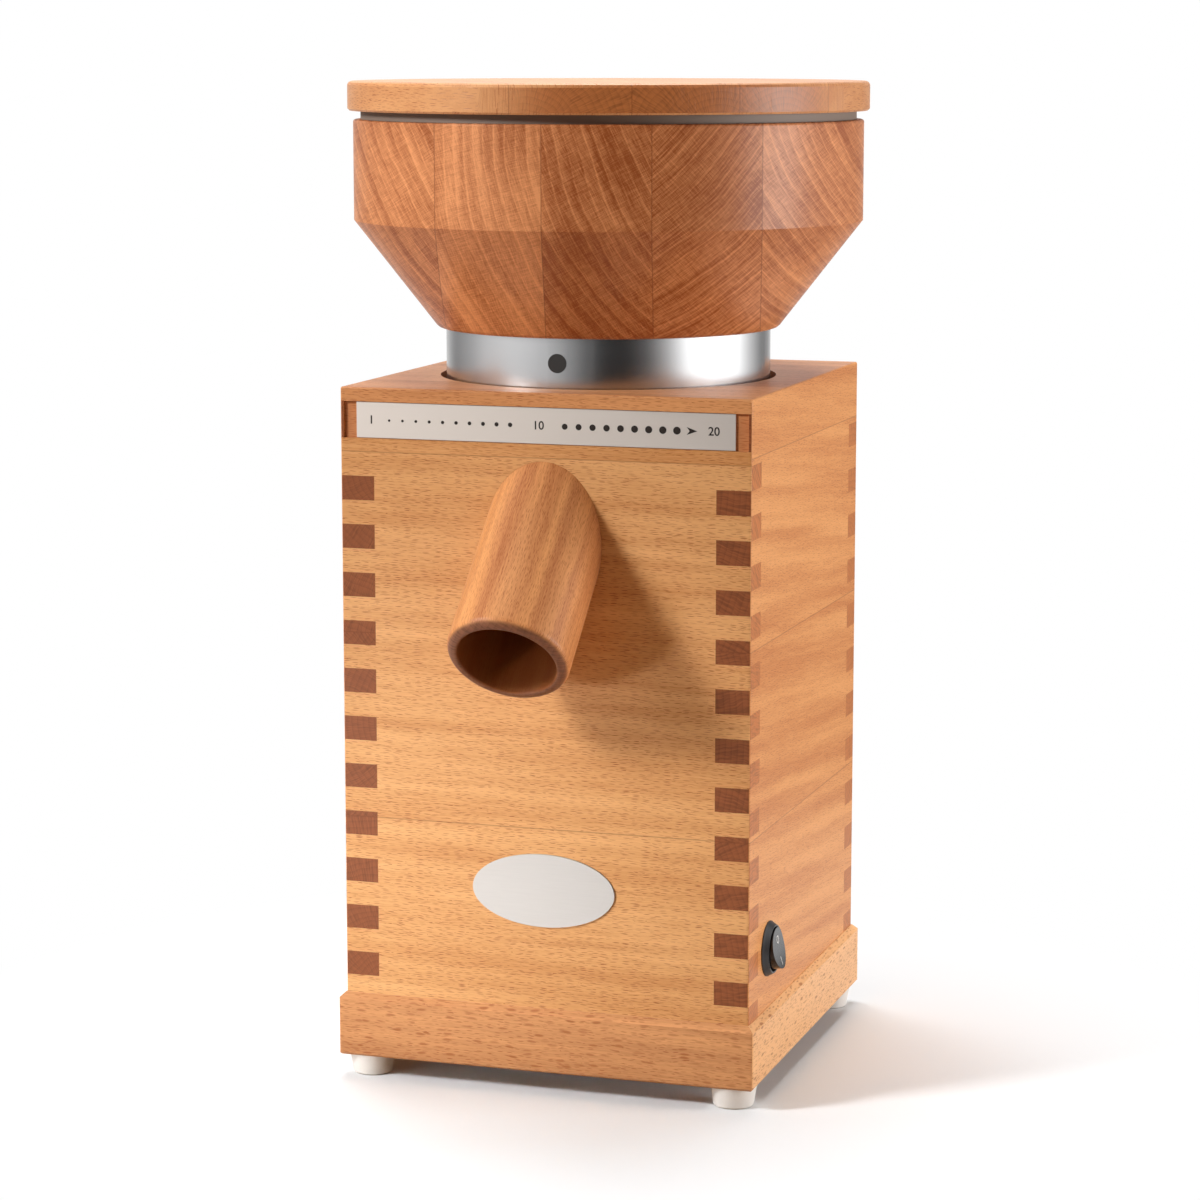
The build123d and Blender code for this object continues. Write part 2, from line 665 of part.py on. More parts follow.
def grinding_chamber():
    """The wall around the stones, with the spigot into the spout and four fixing lugs."""
    wall = tube(CHAMBER_R, CHAMBER_BORE_R, CHAMBER_FLOOR, CHAMBER_TOP)
    for x, y, angle in lug_places():
        arm = block(CHAMBER_BORE_R + PROUD, LUG_CIRCLE_R, -LUG_R, LUG_R, CHAMBER_TOP - LUG_T,
                    CHAMBER_TOP)
        wall += Rot(0, 0, angle) * arm
        wall += rod(LUG_R, CHAMBER_TOP - LUG_T, CHAMBER_TOP, x, y)
        wall -= rod(WOOD_SCREW_R + FIT, CHAMBER_TOP - LUG_T, CHAMBER_TOP, x, y)
    slant = sin(radians(SPOUT_ANGLE))
    near = (PANEL_T - SPIGOT_LENGTH) / slant
    far = (HALF - CHAMBER_BORE_R + SPIGOT_ROOT) / slant
    spigot = spout_plane() * Pos(0, 0, -(near + far) / 2) * Cylinder(SPIGOT_R, far - near)
    spigot = spigot & block(-HALF, HALF, -HALF, 0, BASE_TOP, CHAMBER_TOP)
    wall += spigot - rod(CHAMBER_BORE_R, CHAMBER_UNDER, CHAMBER_TOP)
    wall -= outlet(SPIGOT_BORE_R, CHAMBER_BORE_R - SPIGOT_ROOT)
    for x, y, _ in guide_pin_places():
        wall -= rod(GUIDE_PIN_R + FIT, CHAMBER_TOP - GUIDE_PIN_BITE, CHAMBER_TOP, x, y)
    for x, y, _ in spring_places():
        wall -= rod(SPRING_POCKET_R, CHAMBER_TOP - SPRING_POCKET_DEPTH, CHAMBER_TOP, x, y)
    for x, y, _ in sleeve_screw_places():
        wall -= sleeve_screw(x, y, FIT)
    for x, y, _ in floor_screw_places():
        wall -= floor_screw(x, y, FIT)
    return wall


def chamber_floor():
    """The plate under the wall: the shaft passes through its middle and the motor hangs on it."""
    plate = tube(CHAMBER_R, SEAL_BORE_R, CHAMBER_UNDER, CHAMBER_FLOOR)
    plate -= outlet(SPIGOT_R + FIT, CHAMBER_BORE_R)
    plate -= outlet(SPIGOT_BORE_R, CHAMBER_BORE_R - SPIGOT_ROOT)
    for x, y, _ in damper_places():
        plate -= rod(BOLT_R + FIT, CHAMBER_UNDER, CHAMBER_FLOOR - BOLT_COVER, x, y)
    for x, y, _ in floor_screw_places():
        plate -= floor_screw(x, y, FIT)
    return plate


def lug_places():
    return list(around(4, LUG_CIRCLE_R, 45))


def lug_screw(x, y):
    low = CHAMBER_TOP - LUG_T
    head = rod(WOOD_SCREW_HEAD_R, low - WOOD_SCREW_HEAD_H, low, x, y)
    return head + rod(WOOD_SCREW_R, low, TOP_UNDER + LUG_SCREW_BITE - SCREW_END, x, y)


def floor_screw_places():
    return list(around(4, FLOOR_SCREW_CIRCLE_R, 45))


def floor_screw(x, y, grow=0.0):
    """A countersunk screw up through the chamber's floor into its wall."""
    return countersunk(WOOD_SCREW_R + grow, WOOD_SCREW_HEAD_R + grow, WOOD_SCREW_HEAD_H,
                       FLOOR_SCREW_LENGTH + grow, x, y, CHAMBER_UNDER, 1)


def sleeve_screw_places():
    return list(around(4, SLEEVE_SCREW_CIRCLE_R, 45))


def sleeve_screw(x, y, grow=0.0):
    """A countersunk screw down through the sleeve's flange."""
    face = CHAMBER_TOP + SLEEVE_FLANGE_T
    return countersunk(SMALL_SCREW_R + grow, SMALL_SCREW_HEAD_R + grow, SMALL_SCREW_HEAD_H,
                       SLEEVE_SCREW_LENGTH + grow, x, y, face, -1)


def thread_sleeve():
    """The ring on the chamber that the hopper screws onto."""
    sleeve = turned([
        (SLEEVE_BORE_R, CHAMBER_TOP), (CHAMBER_R, CHAMBER_TOP),
        (CHAMBER_R, CHAMBER_TOP + SLEEVE_FLANGE_T), (SLEEVE_R, CHAMBER_TOP + SLEEVE_FLANGE_T),
        (SLEEVE_R, SLEEVE_TOP), (SLEEVE_BORE_R, SLEEVE_TOP),
    ])
    for x, y, _ in sleeve_screw_places():
        sleeve -= sleeve_screw(x, y, FIT)
    return sleeve


def shaft_seal():
    low = CHAMBER_UNDER + SEAL_SET
    return tube(SEAL_BORE_R - FIT / 2, SHAFT_R + BESIDE, low, CHAMBER_FLOOR - SEAL_SET)


def guide_pin_places():
    return list(around(GUIDE_COUNT, GUIDE_CIRCLE_R))


def guide_pin(x, y):
    return rod(GUIDE_PIN_R, CHAMBER_TOP - GUIDE_PIN_BITE, FLANGE_TOP + GUIDE_PIN_PROUD, x, y)


# ---------------------------------------------------------------- stones, carrier and springs

def furrows(face_z, into):
    """Slanting furrows across a stone's flat band; into is -1 where they are cut downwards."""
    low, high = sorted((face_z + into * FURROW_DEPTH, face_z - into * PROUD))
    cut = block(STONE_FLAT_R - FURROW_RUN_IN, STONE_R + FURROW_RUN_OUT, FURROW_OFFSET,
                FURROW_OFFSET + FURROW_W, low, high)
    return [Rot(0, 0, angle) * cut for _, _, angle in around(FURROW_COUNT)]


def lower_millstone():
    hub = SHAFT_END_R + FIT
    stone = turned([
        (hub, LOWER_STONE_Z), (STONE_R, LOWER_STONE_Z), (STONE_R, MILL_Z),
        (STONE_FLAT_R, MILL_Z), (STONE_EYE_R - STONE_HUB_LAND, NUT_Z), (hub, NUT_Z),
    ])
    for place in drive_pin_places():
        stone -= drive_pin(*place, FIT)
    return stone - furrows(MILL_Z, -1)


def upper_millstone():
    stone = turned([
        (STONE_EYE_R, UPPER_STONE_TOP), (STONE_R, UPPER_STONE_TOP), (STONE_R, UPPER_STONE_Z),
        (STONE_FLAT_R, UPPER_STONE_Z), (STONE_EYE_R, UPPER_STONE_Z + STONE_CONE_DROP),
    ])
    return stone - furrows(UPPER_STONE_Z, 1)


def stone_carrier():
    """The cup that holds the upper stone; its flange rides on the guide pins and the springs."""
    bore = STONE_R + FIT
    wall = bore + CARRIER_WALL
    cup = turned([
        (STONE_EYE_R, UPPER_STONE_TOP), (bore, UPPER_STONE_TOP), (bore, FLANGE_Z),
        (CARRIER_FLANGE_R, FLANGE_Z), (CARRIER_FLANGE_R, FLANGE_TOP), (wall, FLANGE_TOP),
        (wall, CARRIER_TOP), (STONE_EYE_R, CARRIER_TOP),
    ])
    for x, y, _ in guide_pin_places():
        cup -= rod(GUIDE_PIN_R + RUN, FLANGE_Z, FLANGE_TOP, x, y)
    return cup


def spring_places():
    return list(around(GUIDE_COUNT, GUIDE_CIRCLE_R, SPRING_FIRST))


def carrier_spring(x, y):
    """An open coil spring between a pocket's floor and the carrier's flange."""
    low = CHAMBER_TOP - SPRING_POCKET_DEPTH + SPRING_WIRE / 2
    high = FLANGE_Z - SPRING_WIRE
    steps = SPRING_STEPS * SPRING_TURNS
    points = []
    for k in range(steps + 1):
        angle = 2 * pi * k / SPRING_STEPS
        height = low + (high - low) * k / steps
        points.append((x + SPRING_COIL_R * cos(angle), y + SPRING_COIL_R * sin(angle), height))
    path = Polyline(*points)
    start = Plane(origin=points[0], z_dir=path % 0)
    return sweep(start * Rectangle(SPRING_WIRE, SPRING_WIRE), path, transition=Transition.RIGHT)


def drive_pin_places():
    return [(-DRIVE_PIN_AT, 0), (DRIVE_PIN_AT, 0)]


def drive_pin(x, y, grow=0.0):
    """A pin between the holder and the lower stone, so that the stone can't slip."""
    bite = DRIVE_PIN_BITE + grow
    return rod(DRIVE_PIN_R + grow, LOWER_STONE_Z - bite, LOWER_STONE_Z + bite, x, y)


def stone_holder():
    """The disc on the shaft that carries the lower stone."""
    disc = tube(HOLDER_R, SHAFT_R + FIT / 2, HOLDER_Z, LOWER_STONE_Z)
    for place in drive_pin_places():
        disc -= drive_pin(*place, FIT)
    return disc


def flour_wiper():
    """A flat star under the holder that sweeps the chamber's floor."""
    reach = CHAMBER_BORE_R - 2 * FREE
    half = WIPER_BLADE_W / 2
    star = rod(HOLDER_R - WIPER_HUB_IN, WIPER_Z, HOLDER_Z)
    for _, _, angle in around(WIPER_BLADES):
        star += Rot(0, 0, angle) * block(SHAFT_R, reach, -half, half, WIPER_Z, HOLDER_Z)
    star = star & rod(reach, WIPER_Z, HOLDER_Z)
    return star - rod(SHAFT_R + FIT / 2, WIPER_Z, HOLDER_Z)


def stone_nut():
    """The hexagon nut and washer that clamp the lower stone."""
    nut = Pos(0, 0, NUT_Z + WASHER_T) * extrude(RegularPolygon(NUT_R, 6), NUT_H)
    nut += rod(WASHER_R, NUT_Z, NUT_Z + WASHER_T)
    return nut - rod(SHAFT_END_R + FIT / 2, NUT_Z, NUT_TOP)


# ---------------------------------------------------------------- motor

def stator_slots(first_z, length, inset=0.0):
    """Prisms in the gaps between the stator's teeth, set in by inset on every side."""
    half = radians(360.0 / STATOR_SLOTS * SLOT_SHARE / 2)
    low = SLOT_IN_R + inset
    high = SLOT_OUT_R - inset
    outline = [
        (low * cos(half), inset - low * sin(half)), (high * cos(half), inset - high * sin(half)),
        (high * cos(half), high * sin(half) - inset), (low * cos(half), low * sin(half) - inset),
    ]
    prism = Pos(0, 0, first_z) * extrude(make_face(Polyline(*outline, close=True)), length)
    first = 180.0 / STATOR_SLOTS
    return [Rot(0, 0, angle) * prism for _, _, angle in around(STATOR_SLOTS, first=first)]


def stator_core():
    """The stack of laminations: round outside, a bore, and closed winding slots."""
    return tube(STATOR_R, ROTOR_R + AIR_GAP, STACK_Z, STACK_TOP) - stator_slots(STACK_Z, STACK_H)


def end_turns(z, way):
    """One bundle of end turns, from the stack outwards."""
    out = SLOT_OUT_R + WINDING_FLARE
    top = WINDING_OVERHANG
    shape = [
        (SLOT_IN_R, 0), (SLOT_OUT_R, 0), (out, WINDING_ROUND), (out, top - WINDING_ROUND),
        (out - WINDING_ROUND, top), (SLOT_IN_R + WINDING_ROUND, top),
        (SLOT_IN_R, top - WINDING_ROUND),
    ]
    return turned([(r, z + way * h) for r, h in shape])


def stator_windings():
    """The coils: a leg in every slot and a bundle of end turns above and below the stack."""
    reach = WINDING_LIFT + LEG_BITE
    coils = end_turns(STACK_TOP + WINDING_LIFT, 1) + end_turns(STACK_Z - WINDING_LIFT, -1)
    return coils + stator_slots(STACK_Z - reach, STACK_H + 2 * reach, BESIDE)


def tie_bolt_places():
    return list(around(4, TIE_R, 45))


def end_shield(plate_z, way):
    """A cast end shield: plate, skirt over the end turns, bearing seat and tie-bolt lugs.

    plate_z is the plate's outer face and way points from it towards the stack."""
    seat_depth = SEAT_SET + BEARING_W + SEAT_RIM
    seat_r = BEARING_R + FIT / 2
    skirt_r = STATOR_R - SHIELD_WALL
    profile = [
        (SHAFT_R + SHIELD_ROOM, 0), (STATOR_R, 0), (STATOR_R, SHIELD_DEPTH),
        (skirt_r, SHIELD_DEPTH), (skirt_r, SHIELD_PLATE), (BEARING_R + SEAT_WALL, SHIELD_PLATE),
        (BEARING_R + SEAT_WALL, seat_depth), (seat_r, seat_depth), (seat_r, SEAT_SET),
        (SHAFT_R + SHIELD_ROOM, SEAT_SET),
    ]
    shield = turned([(r, plate_z + way * h) for r, h in profile])
    joint_z = plate_z + way * SHIELD_DEPTH
    low, high = sorted((joint_z, joint_z - way * TIE_LUG_H))
    for x, y, angle in tie_bolt_places():
        root = block(skirt_r + PROUD, TIE_R, -TIE_LUG_R, TIE_LUG_R, low, high)
        shield += rod(TIE_LUG_R, low, high, x, y) + Rot(0, 0, angle) * root
        shield -= rod(BOLT_R + FIT, low, high, x, y)
    return shield


def upper_end_shield():
    """The shield that the dampers carry; their bolts pass through its plate."""
    shield = end_shield(SHIELD_TOP, -1)
    for x, y, _ in damper_places():
        shield -= rod(BOLT_R + FIT, SHIELD_TOP - SHIELD_PLATE, SHIELD_TOP, x, y)
    return shield


def lower_end_shield():
    """As the upper one, with air windows in its plate above the fan."""
    shield = end_shield(SHIELD_UNDER, 1)
    window = block(BEARING_R + SEAT_WALL + WINDOW_HUB_LAND, STATOR_R - WINDOW_LAND,
                   -WINDOW_W / 2, WINDOW_W / 2, SHIELD_UNDER, SHIELD_UNDER + SHIELD_PLATE)
    return shield - [Rot(0, 0, angle) * window for _, _, angle in around(4)]


def damper_places():
    return list(around(4, DAMPER_CIRCLE_R, 45))


def damper(x, y):
    """A rubber barrel between motor and chamber, necked in at its middle."""
    hole = BOLT_R + FIT
    return Pos(x, y, SHIELD_TOP) * turned([
        (hole, 0), (DAMPER_R, 0), (DAMPER_R - DAMPER_NECK, DAMPER_H / 2), (DAMPER_R, DAMPER_H),
        (hole, DAMPER_H),
    ])


def motor_bolt(x, y):
    low = SHIELD_TOP - SHIELD_PLATE
    head = rod(BOLT_HEAD_R, low - BOLT_HEAD_H, low, x, y)
    return head + rod(BOLT_R, low, CHAMBER_FLOOR - BOLT_COVER - SCREW_END, x, y)


def tie_bolt(x, y):
    """A long screw and its nut, holding both end shields to the stack."""
    low = STACK_Z - TIE_LUG_H
    high = STACK_TOP + TIE_LUG_H
    bolt = rod(BOLT_R, low, high + BOLT_HEAD_H + TIE_PROUD, x, y)
    bolt += rod(BOLT_HEAD_R, low - BOLT_HEAD_H, low, x, y)
    return bolt + Pos(x, y, high) * extrude(RegularPolygon(BOLT_HEAD_R, 6), BOLT_HEAD_H)


def bearing_outer(z):
    return tube(BEARING_R, BEARING_R - BEARING_RACE, z, z + BEARING_W)


def bearing_inner(z):
    """The inner ring with its shield, which turn together."""
    ring = tube(SHAFT_R + BEARING_RACE, SHAFT_R, z, z + BEARING_W)
    low = z + BEARING_SHIELD_SET
    high = z + BEARING_W - BEARING_SHIELD_SET
    return ring + tube(BEARING_R - BEARING_RACE - RUN, SHAFT_R, low, high)


def rotor_shaft():
    shaft = rod(SHAFT_R, SHAFT_Z, LOWER_STONE_Z) + rod(SHAFT_END_R, LOWER_STONE_Z, SHAFT_TOP)
    return shaft - rod(CENTRE_R, SHAFT_TOP - CENTRE_DEPTH, SHAFT_TOP)


def rotor_core():
    return tube(ROTOR_R, SHAFT_R, STACK_Z, STACK_TOP)


def rotor_end_rings():
    """The cage's cast end rings, one each side of the core."""
    outer = ROTOR_R - END_RING_IN
    inner = outer - END_RING_W
    return (tube(outer, inner, STACK_TOP, STACK_TOP + END_RING_H),
            tube(outer, inner, STACK_Z - END_RING_H, STACK_Z))


def cooling_fan():
    """A disc with blades on its underside, pushed onto the shaft's lower end."""
    fan = rod(FAN_R, FAN_TOP - FAN_DISC, FAN_TOP) + rod(SHAFT_R + FAN_HUB_WALL, FAN_Z, FAN_TOP)
    half = FAN_BLADE_T / 2
    blade = block(FAN_BLADE_FROM, FAN_R - PROUD, -half, half, FAN_Z, FAN_TOP - FAN_DISC)
    fan += [Rot(0, 0, angle) * blade for _, _, angle in around(FAN_BLADES)]
    return fan - rod(SHAFT_R, FAN_Z, FAN_TOP)


def fan_clip():
    """A spring clip below the fan that keeps it on the shaft."""
    low = FAN_Z - CLIP_T
    clip = tube(SHAFT_R + CLIP_W, SHAFT_R, low, FAN_Z)
    return clip - block(0, SHAFT_R + 2 * CLIP_W, -CLIP_MOUTH / 2, CLIP_MOUTH / 2, low, FAN_Z)


# ---------------------------------------------------------------- electrical pieces

def switch_place():
    """On the right panel's outer face, Z out of the panel."""
    return Pos(HALF, SWITCH_Y, SWITCH_PIVOT_Z) * Rot(0, 90, 0)


def switch_body():
    """The round bezel and the barrel behind it."""
    shoulder = BEZEL_H * 2 / 5
    body = turned([
        (SWITCH_OPEN_R, BARREL_FLOOR - BARREL_DEPTH), (SWITCH_OPEN_R, BEZEL_H),
        (SWITCH_OPEN_R + BEZEL_LIP, BEZEL_H), (BEZEL_R - BEZEL_EDGE, shoulder),
        (BEZEL_R, BEZEL_EDGE), (BEZEL_R, 0), (BARREL_R, 0), (BARREL_R, -BARREL_DEPTH),
        (0, -BARREL_DEPTH), (0, BARREL_FLOOR - BARREL_DEPTH),
    ])
    pins = Cylinder(ROCKER_PIN_R + RUN, 2 * (BARREL_R + BESIDE))
    return switch_place() * (body - Pos(0, 0, ROCKER_PIVOT) * Rot(90, 0, 0) * pins)


def switch_terminals():
    """Three push-on tabs behind the barrel."""
    tab = Pos(0, 0, -BARREL_DEPTH - TAB_L / 2) * Box(TAB_T, TAB_W, TAB_L)
    return [switch_place() * Pos(k * TAB_PITCH, 0, 0) * tab for k in (-1, 0, 1)]


def switch_rocker():
    """The rocker, dished across its face and tilted to off: upper half in, lower half out."""
    height = ROCKER_SKIRT + ROCKER_FACE + PROUD
    cap = Pos(0, 0, height / 2 - ROCKER_SKIRT) * Cylinder(ROCKER_R, height)
    cap = chamfer(cap.edges().sort_by(Axis.Z)[0], ROCKER_CHAMFER)
    dish = Pos(0, 0, ROCKER_FACE + ROCKER_DISH_R) * Rot(90, 0, 0)
    cap -= dish * Cylinder(ROCKER_DISH_R, 4 * ROCKER_R)
    cap += Rot(90, 0, 0) * Cylinder(ROCKER_PIN_R, 2 * BARREL_R)
    return switch_place() * Pos(0, 0, ROCKER_PIVOT) * Rot(0, -ROCKER_TILT, 0) * cap


def bush_place():
    """On the back panel's outer face, Z out of the panel."""
    return Pos(BUSH_X, HALF, BASE_TOP + BUSH_Z) * Rot(-90, 0, 0)


def mains_bush():
    """The bush in the back panel for the mains lead; its bore is open."""
    return bush_place() * turned([
        (BUSH_BORE_R, -PANEL_T - BUSH_TAIL), (BUSH_R, -PANEL_T - BUSH_TAIL), (BUSH_R, 0),
        (BUSH_R + BUSH_FLANGE_W, 0), (BUSH_R + BUSH_FLANGE_W, BUSH_FLANGE_T),
        (BUSH_R, BUSH_NOSE), (BUSH_BORE_R, BUSH_NOSE),
    ])


def run_capacitor():
    """A drawn can that stands on the base board in the back left corner, with two tabs."""
    top = BASE_TOP + CAPACITOR_H
    can = rod(CAPACITOR_R, BASE_TOP, top, -CAPACITOR_AT, CAPACITOR_AT)
    can = fillet(can.edges().sort_by(Axis.Z)[-1], CAPACITOR_ROUND)
    for side in (-1, 1):
        place = Pos(-CAPACITOR_AT + side * TAB_PITCH, CAPACITOR_AT, top + TAB_L / 2 - PROUD)
        can += place * Box(TAB_T, TAB_W, TAB_L)
    return can


def capacitor_strap():
    """A bent strap around the capacitor, with a tab against the back panel."""
    low = BASE_TOP + STRAP_Z
    high = low + STRAP_W
    bore = CAPACITOR_R + FIT
    edge = CAPACITOR_R - CAPACITOR_AT
    strap = rod(bore + STRAP_T, low, high, -CAPACITOR_AT, CAPACITOR_AT)
    strap += block(edge, edge + STRAP_T, CAPACITOR_AT, INSIDE, low, high)
    strap += block(edge, edge + STRAP_TAB, INSIDE - STRAP_T, INSIDE, low, high)
    return strap - rod(bore, low, high, -CAPACITOR_AT, CAPACITOR_AT)


def terminal_block():
    """A connector on the base board, with open wire ways."""
    x0 = TERMINAL_IN - INSIDE
    y0 = TERMINAL_IN - INSIDE
    y1 = y0 + TERMINAL_D
    body = block(x0, x0 + TERMINAL_L, y0, y1, BASE_TOP, BASE_TOP + TERMINAL_H)
    low = BASE_TOP + TERMINAL_WAY_Z
    for k in range(TERMINAL_WAYS):
        middle = x0 + TERMINAL_L / 2 + (k - (TERMINAL_WAYS - 1) / 2) * TERMINAL_PITCH
        half = TERMINAL_WAY / 2
        body -= block(middle - half, middle + half, y0, y1, low, low + TERMINAL_WAY)
    return body


# ---------------------------------------------------------------- hopper and lid

def bowl_outline():
    """The bowl's section: straight rim, cone, and a seat for the collar from below."""
    foot = HOPPER_FOOT_ROUND
    rim = HOPPER_RIM_ROUND
    seat_r = COLLAR_R + FIT
    inner_foot_r = BOWL_R - (SHOULDER_Z + WALL_RISE - COLLAR_TOP) / CONE_SLOPE
    return [
        (HOPPER_FOOT_R - foot, HOPPER_Z), (HOPPER_FOOT_R, HOPPER_Z + foot / 3),
        (HOPPER_FOOT_R + foot / CONE_SLOPE, HOPPER_Z + foot), (HOPPER_R, SHOULDER_Z),
        (HOPPER_R, RIM_Z - rim), (HOPPER_R - rim / 3, RIM_Z - rim / 3), (HOPPER_R - rim, RIM_Z),
        (BOWL_R + rim, RIM_Z), (BOWL_R, RIM_Z - rim), (BOWL_R, SHOULDER_Z + WALL_RISE),
        (inner_foot_r, COLLAR_TOP), (seat_r, COLLAR_TOP), (seat_r, HOPPER_Z),
    ]


def ring_screw_staves():
    """The staves that take a screw, spread evenly round the bowl."""
    return [round(k * STAVE_COUNT / RING_SCREW_COUNT + 0.01) for k in range(RING_SCREW_COUNT)]


def hopper_staves():
    """The bowl's staves, glued edge to edge and turned as one."""
    stave = turned(bowl_outline(), 360.0 / STAVE_COUNT)
    staves = [Rot(0, 0, angle) * stave for _, _, angle in around(STAVE_COUNT, first=STAVE_FIRST)]
    for k in ring_screw_staves():
        staves[k] -= ring_screw(k, FIT)
    return staves


def ring_screw(stave, grow=0.0):
    """A short screw from inside the ring, out through the collar and into one stave."""
    middle = STAVE_FIRST + (stave + 0.5) * 360.0 / STAVE_COUNT
    place = Rot(0, 0, middle) * Pos(0, 0, HOPPER_Z + RING_SCREW_LIFT) * Rot(0, 90, 0)
    screw = countersunk(SMALL_SCREW_R + grow, SMALL_SCREW_HEAD_R + grow, SMALL_SCREW_HEAD_H,
                        RING_SCREW_LENGTH + grow, 0, 0, RING_BORE_R, 1)
    screw = place * screw
    return screw if grow else screw - rod(RING_BORE_R, COLLAR_Z, COLLAR_TOP)


def hopper_collar():
    """The steel sleeve around the thread; the marker sits in a hole in its front."""
    collar = tube(COLLAR_R, COLLAR_R - COLLAR_T, COLLAR_Z, COLLAR_TOP)
    for k in ring_screw_staves():
        collar -= ring_screw(k, FIT)
    return collar - marker_place() * Cylinder(MARKER_R + FIT / 2, 4 * COLLAR_T)


def marker_place():
    """Half way up the collar's visible front, Z outwards."""
    return Pos(0, -COLLAR_R + COLLAR_T / 2, (HOPPER_Z + TOP) / 2) * Rot(90, 0, 0)


def setting_marker():
    """The black marker that points to the scale."""
    stud = marker_place() * Cylinder(MARKER_R, MARKER_T)
    return stud - rod(RING_R, COLLAR_Z, COLLAR_TOP)


def funnel_foot_z():
    """Height of the funnel's upper face at the throat."""
    return CARRIER_TOP + PRESS_GAP + FUNNEL_LIP


def funnel_over(radius):
    """Height of the funnel's upper face."""
    slope = (COLLAR_TOP - funnel_foot_z()) / (RING_BORE_R - THROAT_R)
    return funnel_foot_z() + (radius - THROAT_R) * slope


def funnel_under(radius):
    """Height of the funnel's underside."""
    return funnel_over(radius) - FUNNEL_T


def hopper_ring():
    """The moulded ring inside the collar; it screws onto the sleeve, and its ledge carries the
    feed funnel."""
    ledge_r = RING_BORE_R - RING_LEDGE_W
    ledge_top = funnel_under(ledge_r)
    ring = turned([
        (RING_BORE_R, COLLAR_Z), (RING_R, COLLAR_Z), (RING_R, COLLAR_TOP),
        (RING_BORE_R, COLLAR_TOP), (RING_BORE_R, funnel_under(RING_BORE_R)),
        (ledge_r, ledge_top), (ledge_r, ledge_top - RING_LEDGE_T),
        (RING_BORE_R, ledge_top - RING_LEDGE_T),
    ])
    for k in ring_screw_staves():
        ring -= ring_screw(k, FIT)
    return ring


def feed_funnel():
    """The funnel's cone, between the ring's ledge and the flat top of the press ring."""
    edge_r = RING_BORE_R - FIT
    inner_r = PRESS_IN_R + FIT
    land = funnel_under(PRESS_OUT_R)
    return turned([
        (inner_r, land), (PRESS_OUT_R, land), (edge_r, funnel_under(edge_r)),
        (edge_r, COLLAR_TOP), (inner_r, funnel_over(inner_r)),
    ])


def press_ring():
    """The funnel's throat, with the ring that presses on the stone carrier. The cone rests on
    its outer edge."""
    low = CARRIER_TOP + PRESS_GAP
    land = funnel_under(PRESS_OUT_R)
    lip = THROAT_R + FUNNEL_T
    return turned([
        (THROAT_R, low), (lip, low), (lip, funnel_under(lip)),
        (PRESS_IN_R, funnel_under(PRESS_IN_R)), (PRESS_IN_R, low), (PRESS_OUT_R, low),
        (PRESS_OUT_R, land), (PRESS_IN_R, land), (PRESS_IN_R, funnel_over(PRESS_IN_R)),
        (THROAT_R, funnel_foot_z()),
    ])


def lid():
    """The wooden lid, with a step underneath that centres it in the bowl."""
    step = BOWL_R - LID_STEP_ROOM
    under = LID_Z - LID_STEP_H
    edge = LID_UNDER_CHAMFER
    return turned([
        (0, under), (step - edge, under), (step, under + edge), (step, LID_Z),
        (LID_R - edge, LID_Z), (LID_R, LID_Z + edge), (LID_R, LID_TOP - LID_ROUND),
        (LID_R - LID_ROUND / 3, LID_TOP - LID_ROUND / 3), (LID_R - LID_ROUND, LID_TOP),
        (0, LID_TOP),
    ])


def lid_seal():
    return tube(SEAL_R, SEAL_R - SEAL_W, SEAL_Z, LID_Z)


# ---------------------------------------------------------------- the nodes

save("base_board", base_board())
save("feet", *each(foot, corners(FOOT_AT)))
save("foot_screws", *each(foot_screw, corners(FOOT_AT)))
save("base_screws", *each(base_screw, base_screw_places()))
save("left_panel", side_panel(-1))
save("right_panel", right_panel())
save("front_panel", front_panel())
save("back_panel", back_panel())
save("top_board", top_board())
save("scale_inlay", scale_inlay())
save("scale_plate", scale_plate())
save("name_plate", name_plate())
save("spout", spout())

save("grinding_chamber", grinding_chamber())
save("chamber_floor", chamber_floor())
save("chamber_screws", *each(lug_screw, lug_places()), *each(floor_screw, floor_screw_places()))
save("thread_sleeve", thread_sleeve())
save("sleeve_screws", *each(sleeve_screw, sleeve_screw_places()))
save("shaft_seal", shaft_seal())
save("guide_pins", *each(guide_pin, guide_pin_places()))
save("carrier_springs", *each(carrier_spring, spring_places()))
save("drive_pins", *each(drive_pin, drive_pin_places()))

save("lower_millstone", lower_millstone())
save("stone_holder", stone_holder())
save("flour_wiper", flour_wiper())
save("stone_nut", stone_nut())
save("upper_millstone", upper_millstone())
save("stone_carrier", stone_carrier())

save("motor_dampers", *each(damper, damper_places()))
save("motor_bolts", *each(motor_bolt, damper_places()))
save("upper_end_shield", upper_end_shield())
save("lower_end_shield", lower_end_shield())
save("stator_core", stator_core())
save("stator_windings", stator_windings())
save("tie_bolts", *each(tie_bolt, tie_bolt_places()))
save("upper_bearing_outer", bearing_outer(UPPER_BEARING_Z))
save("lower_bearing_outer", bearing_outer(LOWER_BEARING_Z))
save("upper_bearing_inner", bearing_inner(UPPER_BEARING_Z))
save("lower_bearing_inner", bearing_inner(LOWER_BEARING_Z))
save("rotor_shaft", rotor_shaft())
save("rotor_core", rotor_core())
save("rotor_end_rings", *rotor_end_rings())
save("cooling_fan", cooling_fan())
save("fan_clip", fan_clip())

save("switch_body", switch_body())
save("switch_terminals", *switch_terminals())
save("switch_rocker", switch_rocker())
save("mains_bush", mains_bush())
save("run_capacitor", run_capacitor())
save("capacitor_strap", capacitor_strap())
save("terminal_block", terminal_block())

